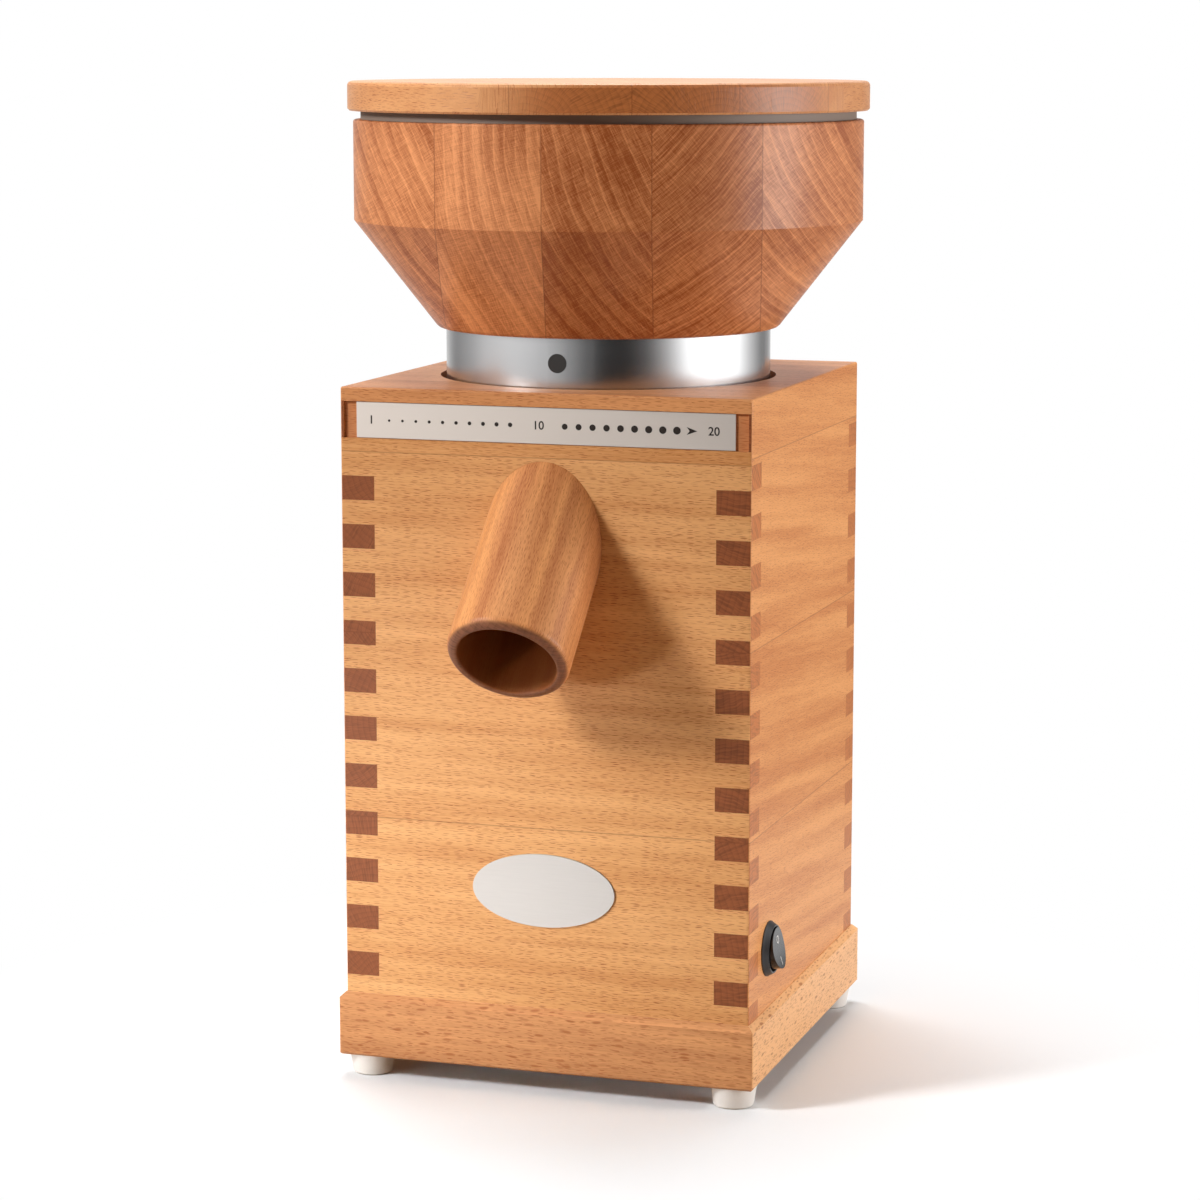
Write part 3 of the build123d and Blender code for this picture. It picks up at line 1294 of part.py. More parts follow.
save("hopper_staves", *hopper_staves())
save("hopper_collar", hopper_collar())
save("hopper_ring", hopper_ring())
save("feed_funnel", feed_funnel())
save("press_ring", press_ring())
save("ring_screws", *[ring_screw(k) for k in ring_screw_staves()])
save("setting_marker", setting_marker())
save("lid", lid())
save("lid_seal", lid_seal())
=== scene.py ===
"""Looks of the electric grain mill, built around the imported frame, in metres."""

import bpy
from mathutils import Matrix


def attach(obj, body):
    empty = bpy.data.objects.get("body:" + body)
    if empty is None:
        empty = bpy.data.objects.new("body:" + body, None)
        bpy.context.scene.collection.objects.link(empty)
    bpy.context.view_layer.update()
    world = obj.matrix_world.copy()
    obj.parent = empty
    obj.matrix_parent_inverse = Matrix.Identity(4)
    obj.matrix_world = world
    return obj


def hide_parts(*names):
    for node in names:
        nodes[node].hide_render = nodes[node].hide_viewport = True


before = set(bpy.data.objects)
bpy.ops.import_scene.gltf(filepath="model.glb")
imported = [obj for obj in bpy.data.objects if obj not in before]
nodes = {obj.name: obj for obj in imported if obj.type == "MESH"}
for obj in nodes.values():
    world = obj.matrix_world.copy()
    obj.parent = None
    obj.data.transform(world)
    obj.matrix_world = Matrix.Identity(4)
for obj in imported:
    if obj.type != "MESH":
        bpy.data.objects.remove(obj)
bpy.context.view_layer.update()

from math import cos, pi, radians, sin
import bpy
from mathutils import Matrix, Vector


# ---------------------------------------------------------------- camera
# A long lens in front of the mill and to its right. It stands just above the lid's height and
# looks down a little, and colours are shown as they are painted.

CAMERA_PLACE = (0.4647, -1.4382, 0.4430)
CAMERA_YAW = 17.81           # degrees round to the mill's right
CAMERA_PITCH = 9.05          # degrees down
LENS = 105.2                 # mm on a 36 mm wide sensor

bpy.ops.object.camera_add(
    location=CAMERA_PLACE,
    rotation=(radians(90 - CAMERA_PITCH), 0, radians(CAMERA_YAW)),
)
camera = bpy.context.object
camera.data.lens = LENS
camera.data.sensor_width = 36
camera.data.clip_start = 0.05
camera.data.clip_end = 60
bpy.context.scene.camera = camera
bpy.context.scene.view_settings.view_transform = "Standard"


# ---------------------------------------------------------------- studio
# A wide white floor under a white surround, with soft lamps at the left, at the right, above and
# low in front, and a round screen whose bright and dark cloths only gloss shows.

FLOOR_SIZE = 30
FLOOR_SEEN = (0.91, 0.96, 1.0)       # what the lens and gloss see
FLOOR_GIVES = (0.40, 0.30, 0.21)     # what it throws back on the mill
FLOOR_FADES = (0.15, 0.32)           # metres from the mill between which its shade fades out
SURROUND_SEEN = (1.0, 1.0, 1.0)
SURROUND_GIVES = (0.115, 0.065, 0.031)
SCREEN_R = 0.50
SCREEN_H = 1.3
SCREEN_LIFT = 0.01
SCREEN_STRENGTH = 2.0                # brightness of a cloth that is painted white

# the screen's cloths: degrees round from the mill's right side, and brightness
CLOTHS = [
    (-180, 0.55), (-165, 0.85), (-145, 0.95), (-122, 0.80), (-103, 0.50), (-88, 0.18),
    (-76, 0.03), (-58, 0.02), (-44, 0.12), (-32, 0.55), (-20, 1.35), (-6, 1.60), (28, 1.60),
    (42, 0.80), (58, 0.25), (70, 0.30), (92, 1.00), (125, 1.00), (155, 0.30), (180, 0.55),
]


class Value:
    """A number that varies over a surface; arithmetic on it adds Math nodes."""

    def __init__(self, wiring, node, output):
        self.wiring = wiring
        self.node = node
        self.socket = node.outputs[output] if node.outputs else None

    def out(self, output):
        """Another output of the same node."""
        return Value(self.wiring, self.node, output)

    def math(self, operation, *others):
        """One Math node on this value and others."""
        return self.wiring.add("Math", {"operation": operation}, [self, *others])

    def __add__(self, other):
        return self.math("ADD", other)

    def __sub__(self, other):
        return self.math("SUBTRACT", other)

    def __mul__(self, other):
        return self.math("MULTIPLY", other)

    def __truediv__(self, other):
        return self.math("DIVIDE", other)

    def __pow__(self, other):
        return self.math("POWER", other)

    def __rsub__(self, other):
        return self.wiring.add("Math", {"operation": "SUBTRACT"}, [other, self])

    def __abs__(self):
        return self.math("ABSOLUTE")

    __radd__ = __add__
    __rmul__ = __mul__


class Wiring:
    """Nodes in the making: add() makes any node, and the rest are short for common ones."""

    def __init__(self, tree):
        self.tree = tree
        self.tree.nodes.clear()

    def put(self, node, socket, value):
        """Links or sets one socket of a node."""
        there = node.inputs[socket]
        if isinstance(value, Value):
            self.tree.links.new(value.socket, there)
        elif there.type == "RGBA":
            there.default_value = (*value, 1)
        else:
            there.default_value = value

    def add(self, kind, settings=None, sockets=(), output=0):
        """Any node: its settings first, then what its sockets hold, by name or in order."""
        node = self.tree.nodes.new("ShaderNode" + kind)
        for setting, value in (settings or {}).items():
            if setting == "stops":
                self.set_stops(node.color_ramp, value)
            elif setting == "spread":
                node.color_ramp.interpolation = value
            else:
                setattr(node, setting, value)
        named = sockets if isinstance(sockets, dict) else dict(enumerate(sockets))
        for socket, value in named.items():
            self.put(node, socket, value)
        return Value(self, node, output)

    def set_stops(self, ramp, stops):
        """A ramp's stops, as pairs of place and colour."""
        while len(ramp.elements) < len(stops):
            ramp.elements.new(0.5)
        for element, (place, colour) in zip(ramp.elements, stops):
            element.position = place
            element.color = (*colour, 1)

    def here(self):
        """Where a point lies in the mill's frame, in metres; out("Normal") is its normal."""
        return self.add("TexCoord", output="Object")

    def split(self, vector):
        """A vector's X; out("Y") and out("Z") of it are the others."""
        return self.add("SeparateXYZ", sockets=[vector])

    def three(self, x, y, z):
        """A place to read a pattern at; u / 60 makes its spots 60 long in that direction."""
        return self.add("CombineXYZ", sockets=[x, y, z])

    def mix(self, share, first, second):
        """A colour that goes from first to second as share goes from 0 to 1."""
        settings = {"data_type": "RGBA", "blend_type": "MIX", "clamp_factor": True}
        return self.add("Mix", settings, {0: share, 6: first, 7: second}, output=2)

    def smooth(self, value, low, high):
        """0 below low, 1 above high, and smooth between; turned round if low is the larger."""
        settings = {"interpolation_type": "SMOOTHSTEP"}
        if low < high:
            return self.add("MapRange", settings, [value, low, high, 0.0, 1.0])
        return self.add("MapRange", settings, [value, high, low, 1.0, 0.0])

    def noise(self, where, scale=1.0, detail=2.0, roughness=0.5):
        sockets = {"Vector": where, "Scale": scale, "Detail": detail, "Roughness": roughness}
        return self.add("TexNoise", {"normalize": True}, sockets)


class Finish(Wiring):
    """A material in the making; principled is its shader."""

    def __init__(self, name, colour=(0.5, 0.5, 0.5), roughness=0.5, **constants):
        self.material = bpy.data.materials.new(name)
        self.material.use_nodes = True
        super().__init__(self.material.node_tree)
        self.principled = self.tree.nodes.new("ShaderNodeBsdfPrincipled")
        self.output = self.tree.nodes.new("ShaderNodeOutputMaterial")
        self.surface(Value(self, self.principled, 0))
        self.paint(colour)
        self.put(self.principled, "Roughness", roughness)
        for socket, value in constants.items():
            self.put(self.principled, socket.replace("_", " "), value)

    def surface(self, shader):
        self.put(self.output, "Surface", shader)

    def paint(self, colour):
        self.put(self.principled, "Base Color", colour)

    def roughen(self, value, mean, swing):
        """Roughness that swings round a mean, by a value that goes from 0 to 1."""
        self.put(self.principled, "Roughness", value * swing + (mean - swing / 2))

    def bump(self, height, depth, strength):
        """Relief of a depth in metres."""
        sockets = {"Height": height, "Distance": depth, "Strength": strength}
        self.put(self.principled, "Normal", self.add("Bump", {}, sockets))

    def wear(self, *pieces):
        """Puts the finish on pieces, or on the CAD nodes of those names."""
        for piece in pieces:
            piece = nodes[piece] if isinstance(piece, str) else piece
            if not piece.material_slots:
                piece.data.materials.append(self.material)
            for slot in piece.material_slots:
                slot.material = self.material


def seen(wiring):
    """1 for rays of the lens, of gloss and of glass, and 0 for the light that falls on things."""
    path = wiring.add("LightPath", output="Is Camera Ray")
    first = path.math("MAXIMUM", path.out("Is Glossy Ray"))
    return first.math("MAXIMUM", path.out("Is Transmission Ray"))


def paper_floor():
    """Matt white paper that ends in plain white some way from the mill."""
    finish = Finish("studio_floor", roughness=1.0, Specular_IOR_Level=0.0)
    shown = seen(finish)
    finish.paint(finish.mix(shown, FLOOR_GIVES, FLOOR_SEEN))
    far = finish.add("VectorMath", {"operation": "LENGTH"}, [finish.here()], "Value")
    white = finish.add("Emission", sockets={"Color": SURROUND_SEEN, "Strength": 1.0})
    share = finish.smooth(far, *FLOOR_FADES) * shown
    matt = Value(finish, finish.principled, 0)
    finish.surface(finish.add("MixShader", sockets=[share, matt, white]))
    return finish


def round_screen():
    """Cloths of different brightness side by side."""
    finish = Finish("studio_screen")
    place = finish.split(finish.here())
    turn = place.out("Y").math("ARCTAN2", place) / (2 * pi) + 0.5
    stops = []
    for angle, bright in CLOTHS:
        grey = bright / SCREEN_STRENGTH
        stops.append(((angle + 180) / 360, (grey, grey, grey)))
    cloth = finish.add("ValToRGB", {"stops": stops}, [turn])
    finish.surface(finish.add("Emission", sockets={"Color": cloth, "Strength": SCREEN_STRENGTH}))
    return finish


def surround():
    """A white world that gives only a little warm light."""
    world = bpy.data.worlds.new("studio_surround")
    world.use_nodes = True
    bpy.context.scene.world = world
    sky = Wiring(world.node_tree)
    colour = sky.mix(seen(sky), SURROUND_GIVES, SURROUND_SEEN)
    background = sky.add("Background", sockets={"Color": colour, "Strength": 1.0})
    sky.add("OutputWorld", sockets={"Surface": background})


def lamp(name, place, aim, width, height, power, spread=180):
    """A soft box that the lens doesn't see, with its power in watts and its spread in degrees."""
    bpy.ops.object.light_add(type="AREA", location=place)
    light = bpy.context.object
    light.name = name
    light.rotation_euler = (Vector(aim) - Vector(place)).to_track_quat("-Z", "Y").to_euler()
    light.data.shape = "RECTANGLE"
    light.data.size = width
    light.data.size_y = height
    light.data.energy = power
    light.data.spread = radians(spread)
    light.visible_camera = False


bpy.ops.mesh.primitive_plane_add(size=FLOOR_SIZE)
floor = bpy.context.object
floor.name = "studio_floor"
paper_floor().wear(floor)
bpy.ops.mesh.primitive_cylinder_add(
    vertices=96, radius=SCREEN_R, depth=SCREEN_H, end_fill_type="NOTHING",
    location=(0, 0, SCREEN_H / 2 + SCREEN_LIFT))
screen = bpy.context.object
screen.name = "studio_screen"
round_screen().wear(screen)
screen.visible_camera = False
screen.visible_diffuse = False
screen.visible_transmission = False
screen.visible_shadow = False
surround()
lamp("key_lamp", (-1.00, -0.92, 0.98), aim=(0, 0, 0.15), width=0.30, height=0.30, power=20.2)
lamp("low_lamp", (-0.50, -0.78, 0.12), aim=(-0.05, -0.07, 0.075), width=0.12, height=0.12,
     power=0.10, spread=27)
lamp("side_lamp", (1.5, 0.15, 0.34), aim=(0.09, 0, 0.08), width=0.7, height=0.6, power=17)
lamp("top_lamp", (-0.2, 0.5, 1.9), aim=(0, 0, 0.2), width=1.2, height=1.2, power=34)


# ---------------------------------------------------------------- base board
# A solid beech board with a chamfered top edge, edged all round so that its sides show long
# grain, and with its left and right ends painted paler: painted light. Its wood has bold ray
# flecks. Eight screws go up through it into the panels.

MILL_Y = 0.0204115                   # the mill's axis
MM = 0.001
FACE_TURN = (pi / 2, 0, 0)           # fibres along X, face towards -Y
BASE_BOLD = ((13.0, 4.0, 12.0), 5.2, 1.2, 0.75)
BASE_MARKS = ((4.6, 1.3, 8.0), 3.2, 0.50, 0.7)
# painted light: a paler colour on the base board's left and right ends
PAINTED_LIGHT_ENDS = (1.0, 0.60, 0.29)
PAINTED_LIGHT_ENDS_SHARE = 0.6                   # how far the board's ends take the paler colour: painted light
EDGING_SHIFT = 37                    # mm inwards, so that the sides don't mirror the front

# beech as all the boards have it, lengths in mm
BEECH_END = (0.270, 0.084, 0.030)
FLECK = (0.34, 0.092, 0.024)         # the ray marks on long grain
RAY_MARKS = ((4.6, 1.05, 6.0), 3.6, 0.32, 0.95)
FIBRE = 0.45                         # width of a bundle of fibres
WAVE = 3.0                           # how far the fibres swing in long waves
RIPPLE = 1.1                         # and in short ones
GROWTH = 2.6                         # a year's ring
GROWTH_STRAY = 8                     # how far the rings stray from true circles
RAY = 0.28                           # width of a ray where it reaches the board's face
GLUE_FADES = 0.35                    # from a joint to where its dark line starts
GLUE_FULL = 0.1                      # and to where it is darkest


def shade(colour, share):
    """A colour made darker or lighter."""
    return tuple(part * share for part in colour)


def along(finish, middle, turn):
    """Object coordinates in millimetres round a piece's middle, turned so that X runs with the
    fibres, Y across the board and Z out of its face; and the surface's normal, turned so too."""
    here = finish.here()
    sockets = {"Vector": here, "Location": middle, "Rotation": turn, "Scale": (MM, MM, MM)}
    place = finish.add("Mapping", {"vector_type": "TEXTURE"}, sockets)
    sockets = {"Vector": here.out("Normal"), "Rotation": turn}
    normal = finish.add("Mapping", {"vector_type": "TEXTURE"}, sockets)
    return finish.split(place), finish.split(normal)


def growth(finish, u, v, w, board, first, pith, seed):
    """How the boards grew: side by side along v, each with its own heart below it. Returns the
    board's number and chance, and the rings and rays that its end grain shows, from 0 to 1."""
    which = ((v - first) / board).math("FLOOR")
    chance = finish.add("TexWhiteNoise", {"noise_dimensions": "1D"}, {"W": which + seed})
    chances = finish.add("SeparateColor", sockets=[chance.out("Color")])
    bend = finish.noise(finish.three(u / 60, v / 18, w / 18))
    across = v - (which + chances) * board - first + (bend - 0.5) * GROWTH_STRAY
    up = w + (chances.out(1) * 0.9 + 0.5) * pith
    radius = (across * across + up * up).math("SQRT")
    angle = across.math("ARCTAN2", up)
    rings = (radius / GROWTH).math("FRACT") ** 3
    rays = finish.noise(finish.three(angle * (pith / RAY), radius / 7, u / 20), detail=1.0)
    return which, chances.out(2), rings * 0.4 + finish.smooth(rays, 0.35, 0.75) * 0.8


def strokes(finish, u, v, w, apart, length, width):
    """Cut ends of the wood's rays: short strokes along u, apart = (along, across, inwards)."""
    cells = finish.three(u / apart[0], v / apart[1], w / apart[2])
    cell = finish.add("TexVoronoi", {"feature": "F1"}, {"Vector": cells, "Scale": 1.0})
    spot = finish.split(cell.out("Position"))
    chance = finish.add("SeparateColor", sockets=[cell.out("Color")])
    along_it = (u - spot * apart[0]) * (2 / length)
    across_it = (v - spot.out("Y") * apart[1]) * (2 / width)
    far = (along_it * along_it + across_it * across_it).math("SQRT")
    return finish.smooth(far, 1.15, 0.45) * (chance * 0.75 + 0.25)


def beech(name, middle, turn, light, dark, end, board=80.0, first=-53.2, pith=60.0, seed=0.0,
          marks=RAY_MARKS, bold=None, lean=0.02, bands=9.0, banding=1.8, tones=0.3, edged=False,
          bore=0.0, inside=None, roughness=0.42, gloss=0.22):
    """Oiled beech, with its middle in metres and the rest in mm.

    light, dark, end: colours of the long grain and of the end grain
    board, first, pith: the boards' width, where the first starts, and how deep their hearts lie
    marks: how far apart the ray marks lie, their length, width and strength
    bold: a second, larger kind of ray mark
    lean: how far the fibres slant
    bands, banding, tones: width and strength of the soft stripes, and how far boards differ
    edged: whether all four sides show long grain, with the ends painted paler as painted light
    bore, inside: radius of the bore that the piece is turned round, and the dark colour of
    painted shade on the bore's wall
    """
    finish = Finish(name, roughness=roughness, Specular_IOR_Level=gloss)
    place, normal = along(finish, middle, turn)
    u, v, w = place, place.out("Y"), place.out("Z")
    ends = finish.smooth(abs(normal), 0.40 if bore else 0.72, 0.80 if bore else 0.90)
    if edged:
        side = finish.smooth(abs(u) - abs(w), -0.01, 0.01)
        u, w = u + (w - u) * side, w + (u - w) * side + side * EDGING_SHIFT
    which, tone, figure = growth(finish, u, v, w, board, first, pith, seed)
    near = abs(((v - first) / board - which) - 0.5) * board
    if bore:
        around = w.math("ARCTAN2", v) * (bore * 1.2)
        v, w = around, (v * v + w * w).math("SQRT")
    else:
        edge = finish.smooth(abs(normal.out("Y")), 0.65, 0.70)
        v, w = v + (w - v) * edge, w + (v - w) * edge
    wave = finish.noise(finish.three(u / 40, v / 25, w / 25))
    ripple = finish.noise(finish.three(u / 7, v / 4, w / 25), detail=1.0)
    slack = v + u * lean + (wave - 0.5) * WAVE + (ripple - 0.5) * RIPPLE
    soft = finish.noise(
        finish.three(u / 190 + which * 3.7, slack / bands, w / bands), detail=3.0)
    fibre = finish.noise(finish.three(u / 16, slack / FIBRE, w / FIBRE), detail=2.0)
    depth = (soft - 0.5) * banding + (tone - 0.5) * tones + (fibre - 0.5) + 0.5
    colour = finish.mix(depth, light, dark)
    # painted light: the board's left and right ends painted paler
    if edged:
        colour = finish.mix(side * PAINTED_LIGHT_ENDS_SHARE, colour, PAINTED_LIGHT_ENDS)
    apart, length, width, strength = marks
    ray = strokes(finish, u, slack, w, apart, length, width) * (soft * 1.3 + 0.35) * strength
    if bold:
        apart, length, width, strength = bold
        ray = ray.math("MAXIMUM", strokes(finish, u, slack, w, apart, length, width) * strength)
    colour = finish.mix(ray, colour, FLECK)
    if not edged:
        soaked = finish.mix(figure, shade(end, 1.12), shade(end, 0.68))
        colour = finish.mix(ends, colour, soaked)
    joint = finish.smooth(near, board / 2 - GLUE_FADES, board / 2 - GLUE_FULL)
    colour = finish.mix(joint * 0.4, colour, shade(FLECK, 0.5))
    # painted shade: the bore's wall takes a dark colour that stands for the shadow in the bore
    if bore:
        deep = finish.smooth(w, bore + 0.6, bore + 0.1)
        colour = finish.mix(deep * 0.85, colour, inside)
    finish.paint(colour)
    finish.roughen(fibre, roughness, 0.12)
    finish.bump(fibre * 0.3 - ray, depth=0.00006, strength=0.5)
    return finish


beech("base_beech", (0, MILL_Y, 0.0232), FACE_TURN, (0.74, 0.370, 0.158), (0.46, 0.195, 0.075),
      BEECH_END, board=200.0, first=-100.0, seed=4.0, marks=BASE_MARKS, bold=BASE_BOLD,
      edged=True).wear("base_board")


# ---------------------------------------------------------------- feet and their screws
# Four tapered feet of moulded white plastic under the base board's corners, each held by a
# screw that sits deep inside it. The screws are of zinc-plated steel, as all the mill's are.

def moulded(name, colour, roughness=0.5):
    """Moulded plastic or rubber with a spark-eroded grain."""
    finish = Finish(name, colour, roughness)
    grain = finish.noise(finish.here(), scale=2200, detail=2)
    finish.paint(finish.mix(grain, shade(colour, 0.92), colour))
    finish.bump(grain, depth=0.00003, strength=0.4)
    return finish


moulded("foot_plastic", (0.895, 0.89, 0.875), 0.42).wear("feet")

screw_zinc = Finish("screw_zinc", (0.62, 0.62, 0.63), Metallic=1.0)
cloud = screw_zinc.noise(screw_zinc.here(), scale=900, detail=3)
screw_zinc.roughen(cloud, mean=0.28, swing=0.2)
screw_zinc.wear("foot_screws", "base_screws")


# ---------------------------------------------------------------- housing panels
# Four beech panels, glued up from boards that lie flat round the mill, with square fingers
# that interlock at the corners, so that end grain shows beside long grain.

PANEL_MIDDLE = (0, MILL_Y, 0.1682)
PANEL_LIGHT = (0.82, 0.462, 0.198)
PANEL_DARK = (0.585, 0.262, 0.086)
PANEL_END = (0.50, 0.175, 0.050)
SIDE_TURN = (pi / 2, 0, pi / 2)      # fibres along Y, face towards X
SIDE_MARKS = ((4.6, 1.1, 6.0), 4.0, 0.36, 0.6)

beech("front_beech", PANEL_MIDDLE, FACE_TURN, PANEL_LIGHT, PANEL_DARK, PANEL_END, board=157.3,
      seed=197.0, tones=0.7).wear("front_panel")
beech("back_beech", PANEL_MIDDLE, FACE_TURN, PANEL_LIGHT, PANEL_DARK, PANEL_END, board=157.3,
      seed=9.0).wear("back_panel")
beech("side_beech", PANEL_MIDDLE, SIDE_TURN, (0.78, 0.370, 0.135), (0.58, 0.225, 0.070),
      BEECH_END, seed=5.0, marks=SIDE_MARKS, lean=0.10, bands=8.0, banding=2.6,
      ).wear("left_panel", "right_panel")


# ---------------------------------------------------------------- top board
# One beech board let in between the panels with mitred edges; the hopper goes down through
# its round hole.

FLAT_TURN = (0, 0, 0)                # fibres along X, face up

beech("top_beech", (0, MILL_Y, 0.2880), FLAT_TURN, (0.74, 0.352, 0.142), (0.53, 0.22, 0.081),
      BEECH_END, board=200.0, first=-100.0, seed=7.0).wear("top_board")


# ---------------------------------------------------------------- scale
# A beech strip let into the slot above the front panel, and on it the scale's steel plate,
# brushed along its length.

beech("strip_beech", (0, MILL_Y, 0.2858), FACE_TURN, (0.62, 0.27, 0.105), (0.48, 0.18, 0.07),
      BEECH_END, board=60.0, first=-30.0, seed=3.0).wear("scale_inlay")


def brushed(name, colour, roughness, turn=FACE_TURN, streak=(40.0, 0.12), anisotropic=0.5,
            contrast=0.25):
    """Metal rubbed along X after the turn. streak: how long and how wide its streaks are, in
    mm; contrast: how far their tones differ."""
    finish = Finish(name, colour, roughness, Metallic=1.0, Anisotropic=anisotropic)
    place, _ = along(finish, (0, MILL_Y, 0), turn)
    length, width = streak
    lines = finish.three(place / length, place.out("Y") / width, place.out("Z") / 40)
    rub = finish.noise(lines, detail=3.0, roughness=0.6)
    finish.paint(finish.mix((rub - 0.5) * contrast + 0.5, shade(colour, 0.86), colour))
    finish.roughen(rub, roughness, 0.16)
    finish.bump(rub, depth=0.00002, strength=0.3)
    return finish


brushed("scale_steel", (0.81, 0.715, 0.64), 0.42, anisotropic=0.0).wear("scale_plate")


# ---------------------------------------------------------------- scale print
# Screen-printed in dark brown enamel: dots that grow from fine to coarse, an arrowhead, and a
# plain number at each end and in the middle.

PRINT_Y = -0.06899           # the plate's face
PRINT_Z = 0.28572            # the plate's middle
PRINT_T = 0.00004            # how thick the enamel lies
PRINT_CROWN = PRINT_T * 0.3  # how far a mark's middle stands above its rim
DOT_RIM = 0.00003
DOT_WIDTH = 0.001            # before it is scaled

# where the dots are, and how wide, in mm
FINE_DOTS = [(-68.2 + 5.978 * k, 1.05 + 0.094 * k) for k in range(10)]
COARSE_DOTS = [(9.5 + 6.05 * k, 2.5 + 0.09 * k) for k in range(9)]

ARROW_X = 0.0643
ARROW_NOTCH = 0.001          # from the arrowhead's middle back to its notch
ARROW_BACK = 0.0022          # and back to its barbs
ARROW_SPREAD = 1.6           # how far the barbs stand out, in notches
ARROW_TIP = 0.0013           # how far the point is drawn out
ARROW_RIM = 0.00005
NUMBERS = [("1", -0.0762), ("10", -0.0020), ("20", 0.0737)]
NUMBER_SIZE = 0.0050
NUMBER_BOLD = 0.00007        # what the strokes gain on each side


def alone(piece):
    """Makes one object the only selected one, and the active one."""
    bpy.ops.object.select_all(action="DESELECT")
    piece.select_set(True)
    bpy.context.view_layer.objects.active = piece


def settle(piece):
    """Puts an object's place, turn and size into its mesh."""
    alone(piece)
    bpy.ops.object.transform_apply(location=True, rotation=True, scale=True)


def another(piece, name):
    """A copy with a mesh of its own."""
    copy = piece.copy()
    copy.data = piece.data.copy()
    copy.name = name
    bpy.context.collection.objects.link(copy)
    return copy


def pick(piece, kind, wanted):
    """Selects the vertices, edges or faces that wanted() says yes to, in edit mode."""
    alone(piece)
    bpy.ops.object.mode_set(mode="EDIT")
    bpy.ops.mesh.select_mode(type=kind)
    bpy.ops.mesh.select_all(action="DESELECT")
    bpy.ops.object.mode_set(mode="OBJECT")
    parts = {"VERT": piece.data.vertices, "EDGE": piece.data.edges, "FACE": piece.data.polygons}
    for part in parts[kind]:
        part.select = bool(wanted(part))
    bpy.ops.object.mode_set(mode="EDIT")


def crown(mark, rim):
    """Raises a printed mark's face inside its rim."""
    pick(mark, "FACE", lambda face: face.normal.y < -0.9)
    bpy.ops.mesh.inset(thickness=rim, depth=PRINT_CROWN)
    bpy.ops.object.mode_set(mode="OBJECT")


def printed_dot():
    """A disc of ink a millimetre wide."""
    bpy.ops.mesh.primitive_cylinder_add(
        vertices=28, radius=DOT_WIDTH / 2, depth=PRINT_T, rotation=(pi / 2, 0, 0))
    dot = bpy.context.object
    settle(dot)
    crown(dot, DOT_RIM)
    return dot


def printed_arrow():
    """A notched arrowhead that points to the coarse end."""
    bpy.ops.mesh.primitive_cylinder_add(
        vertices=4, radius=ARROW_NOTCH, depth=PRINT_T, rotation=(pi / 2, 0, 0))
    arrow = bpy.context.object
    settle(arrow)
    pick(arrow, "VERT", lambda corner: abs(corner.co.x) < ARROW_NOTCH / 5)
    bpy.ops.transform.translate(value=(-ARROW_BACK, 0, 0))
    bpy.ops.transform.resize(value=(1, 1, ARROW_SPREAD))
    bpy.ops.object.mode_set(mode="OBJECT")
    pick(arrow, "VERT", lambda corner: corner.co.x > ARROW_NOTCH / 2)
    bpy.ops.transform.translate(value=(ARROW_TIP, 0, 0))
    bpy.ops.object.mode_set(mode="OBJECT")
    crown(arrow, ARROW_RIM)
    return arrow


def printed_number(text, x):
    """A number in the plate's middle height."""
    bpy.ops.object.text_add(location=(x, PRINT_Y, PRINT_Z), rotation=(pi / 2, 0, 0))
    number = bpy.context.object
    number.data.body = text
    number.data.align_x = "CENTER"
    number.data.align_y = "CENTER"
    number.data.size = NUMBER_SIZE
    number.data.extrude = PRINT_T / 2
    number.data.offset = NUMBER_BOLD
    alone(number)
    bpy.ops.object.convert(target="MESH")
    number = bpy.context.object
    settle(number)
    return number


ink = [printed_number(text, x) for text, x in NUMBERS]
first_dot = printed_dot()
for x, width in FINE_DOTS + COARSE_DOTS:
    dot = another(first_dot, "printed_dot")
    dot.scale = (width, 1, width)
    dot.location = (x * MM, PRINT_Y - PRINT_T / 2, PRINT_Z)
    settle(dot)
    ink.append(dot)
bpy.data.objects.remove(first_dot)
arrow = printed_arrow()
arrow.location = (ARROW_X, PRINT_Y - PRINT_T / 2, PRINT_Z)
settle(arrow)
ink.append(arrow)
alone(arrow)
for mark in ink:
    mark.select_set(True)
bpy.ops.object.join()
scale_print = bpy.context.object
scale_print.name = "scale_print"

enamel = Finish("print_enamel", (0.022, 0.015, 0.012), Specular_IOR_Level=0.25)
pitted = enamel.noise(enamel.here(), scale=3000, detail=2)
enamel.roughen(pitted, mean=0.5, swing=0.3)
enamel.wear(scale_print)
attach(scale_print, "housing")


# ---------------------------------------------------------------- name plate
# An oval plate of the same steel, brushed more coarsely. It lies flat on the front panel, low
# down, and is left bare.

brushed("plate_steel", (0.58, 0.54, 0.505), 0.40, anisotropic=0.0, streak=(14.0, 0.22),
        contrast=1.0).wear("name_plate")


# ---------------------------------------------------------------- spout
# Turned from one piece of beech with the grain along it and bored through. It goes through the
# front panel, and its mouth is well rounded outside.

SPOUT_ANGLE = 47.8           # degrees from straight down
SPOUT_OUTWARD = Vector((0, -sin(radians(SPOUT_ANGLE)), -cos(radians(SPOUT_ANGLE))))
SPOUT_LEAVES = Vector((0, -0.06959, 0.236))      # where its axis leaves the panel
PANEL_INSIDE = -0.05459      # the panel's inner face, where the spout ends
SPOUT_R = 0.02575
SPOUT_BORE = 0.0208
SPOUT_REACH = 0.0624         # from the panel's face to the mouth, along the axis
SPOUT_BACK = 0.050           # how far behind the face the turned piece starts
BORE_BACK = 0.060            # how far behind the face the bore is pushed
MOUTH_ROUND = 0.0038
BORE_ROUND = 0.0009
NEAR = 1e-5                  # metres within which an edge counts as on the mouth


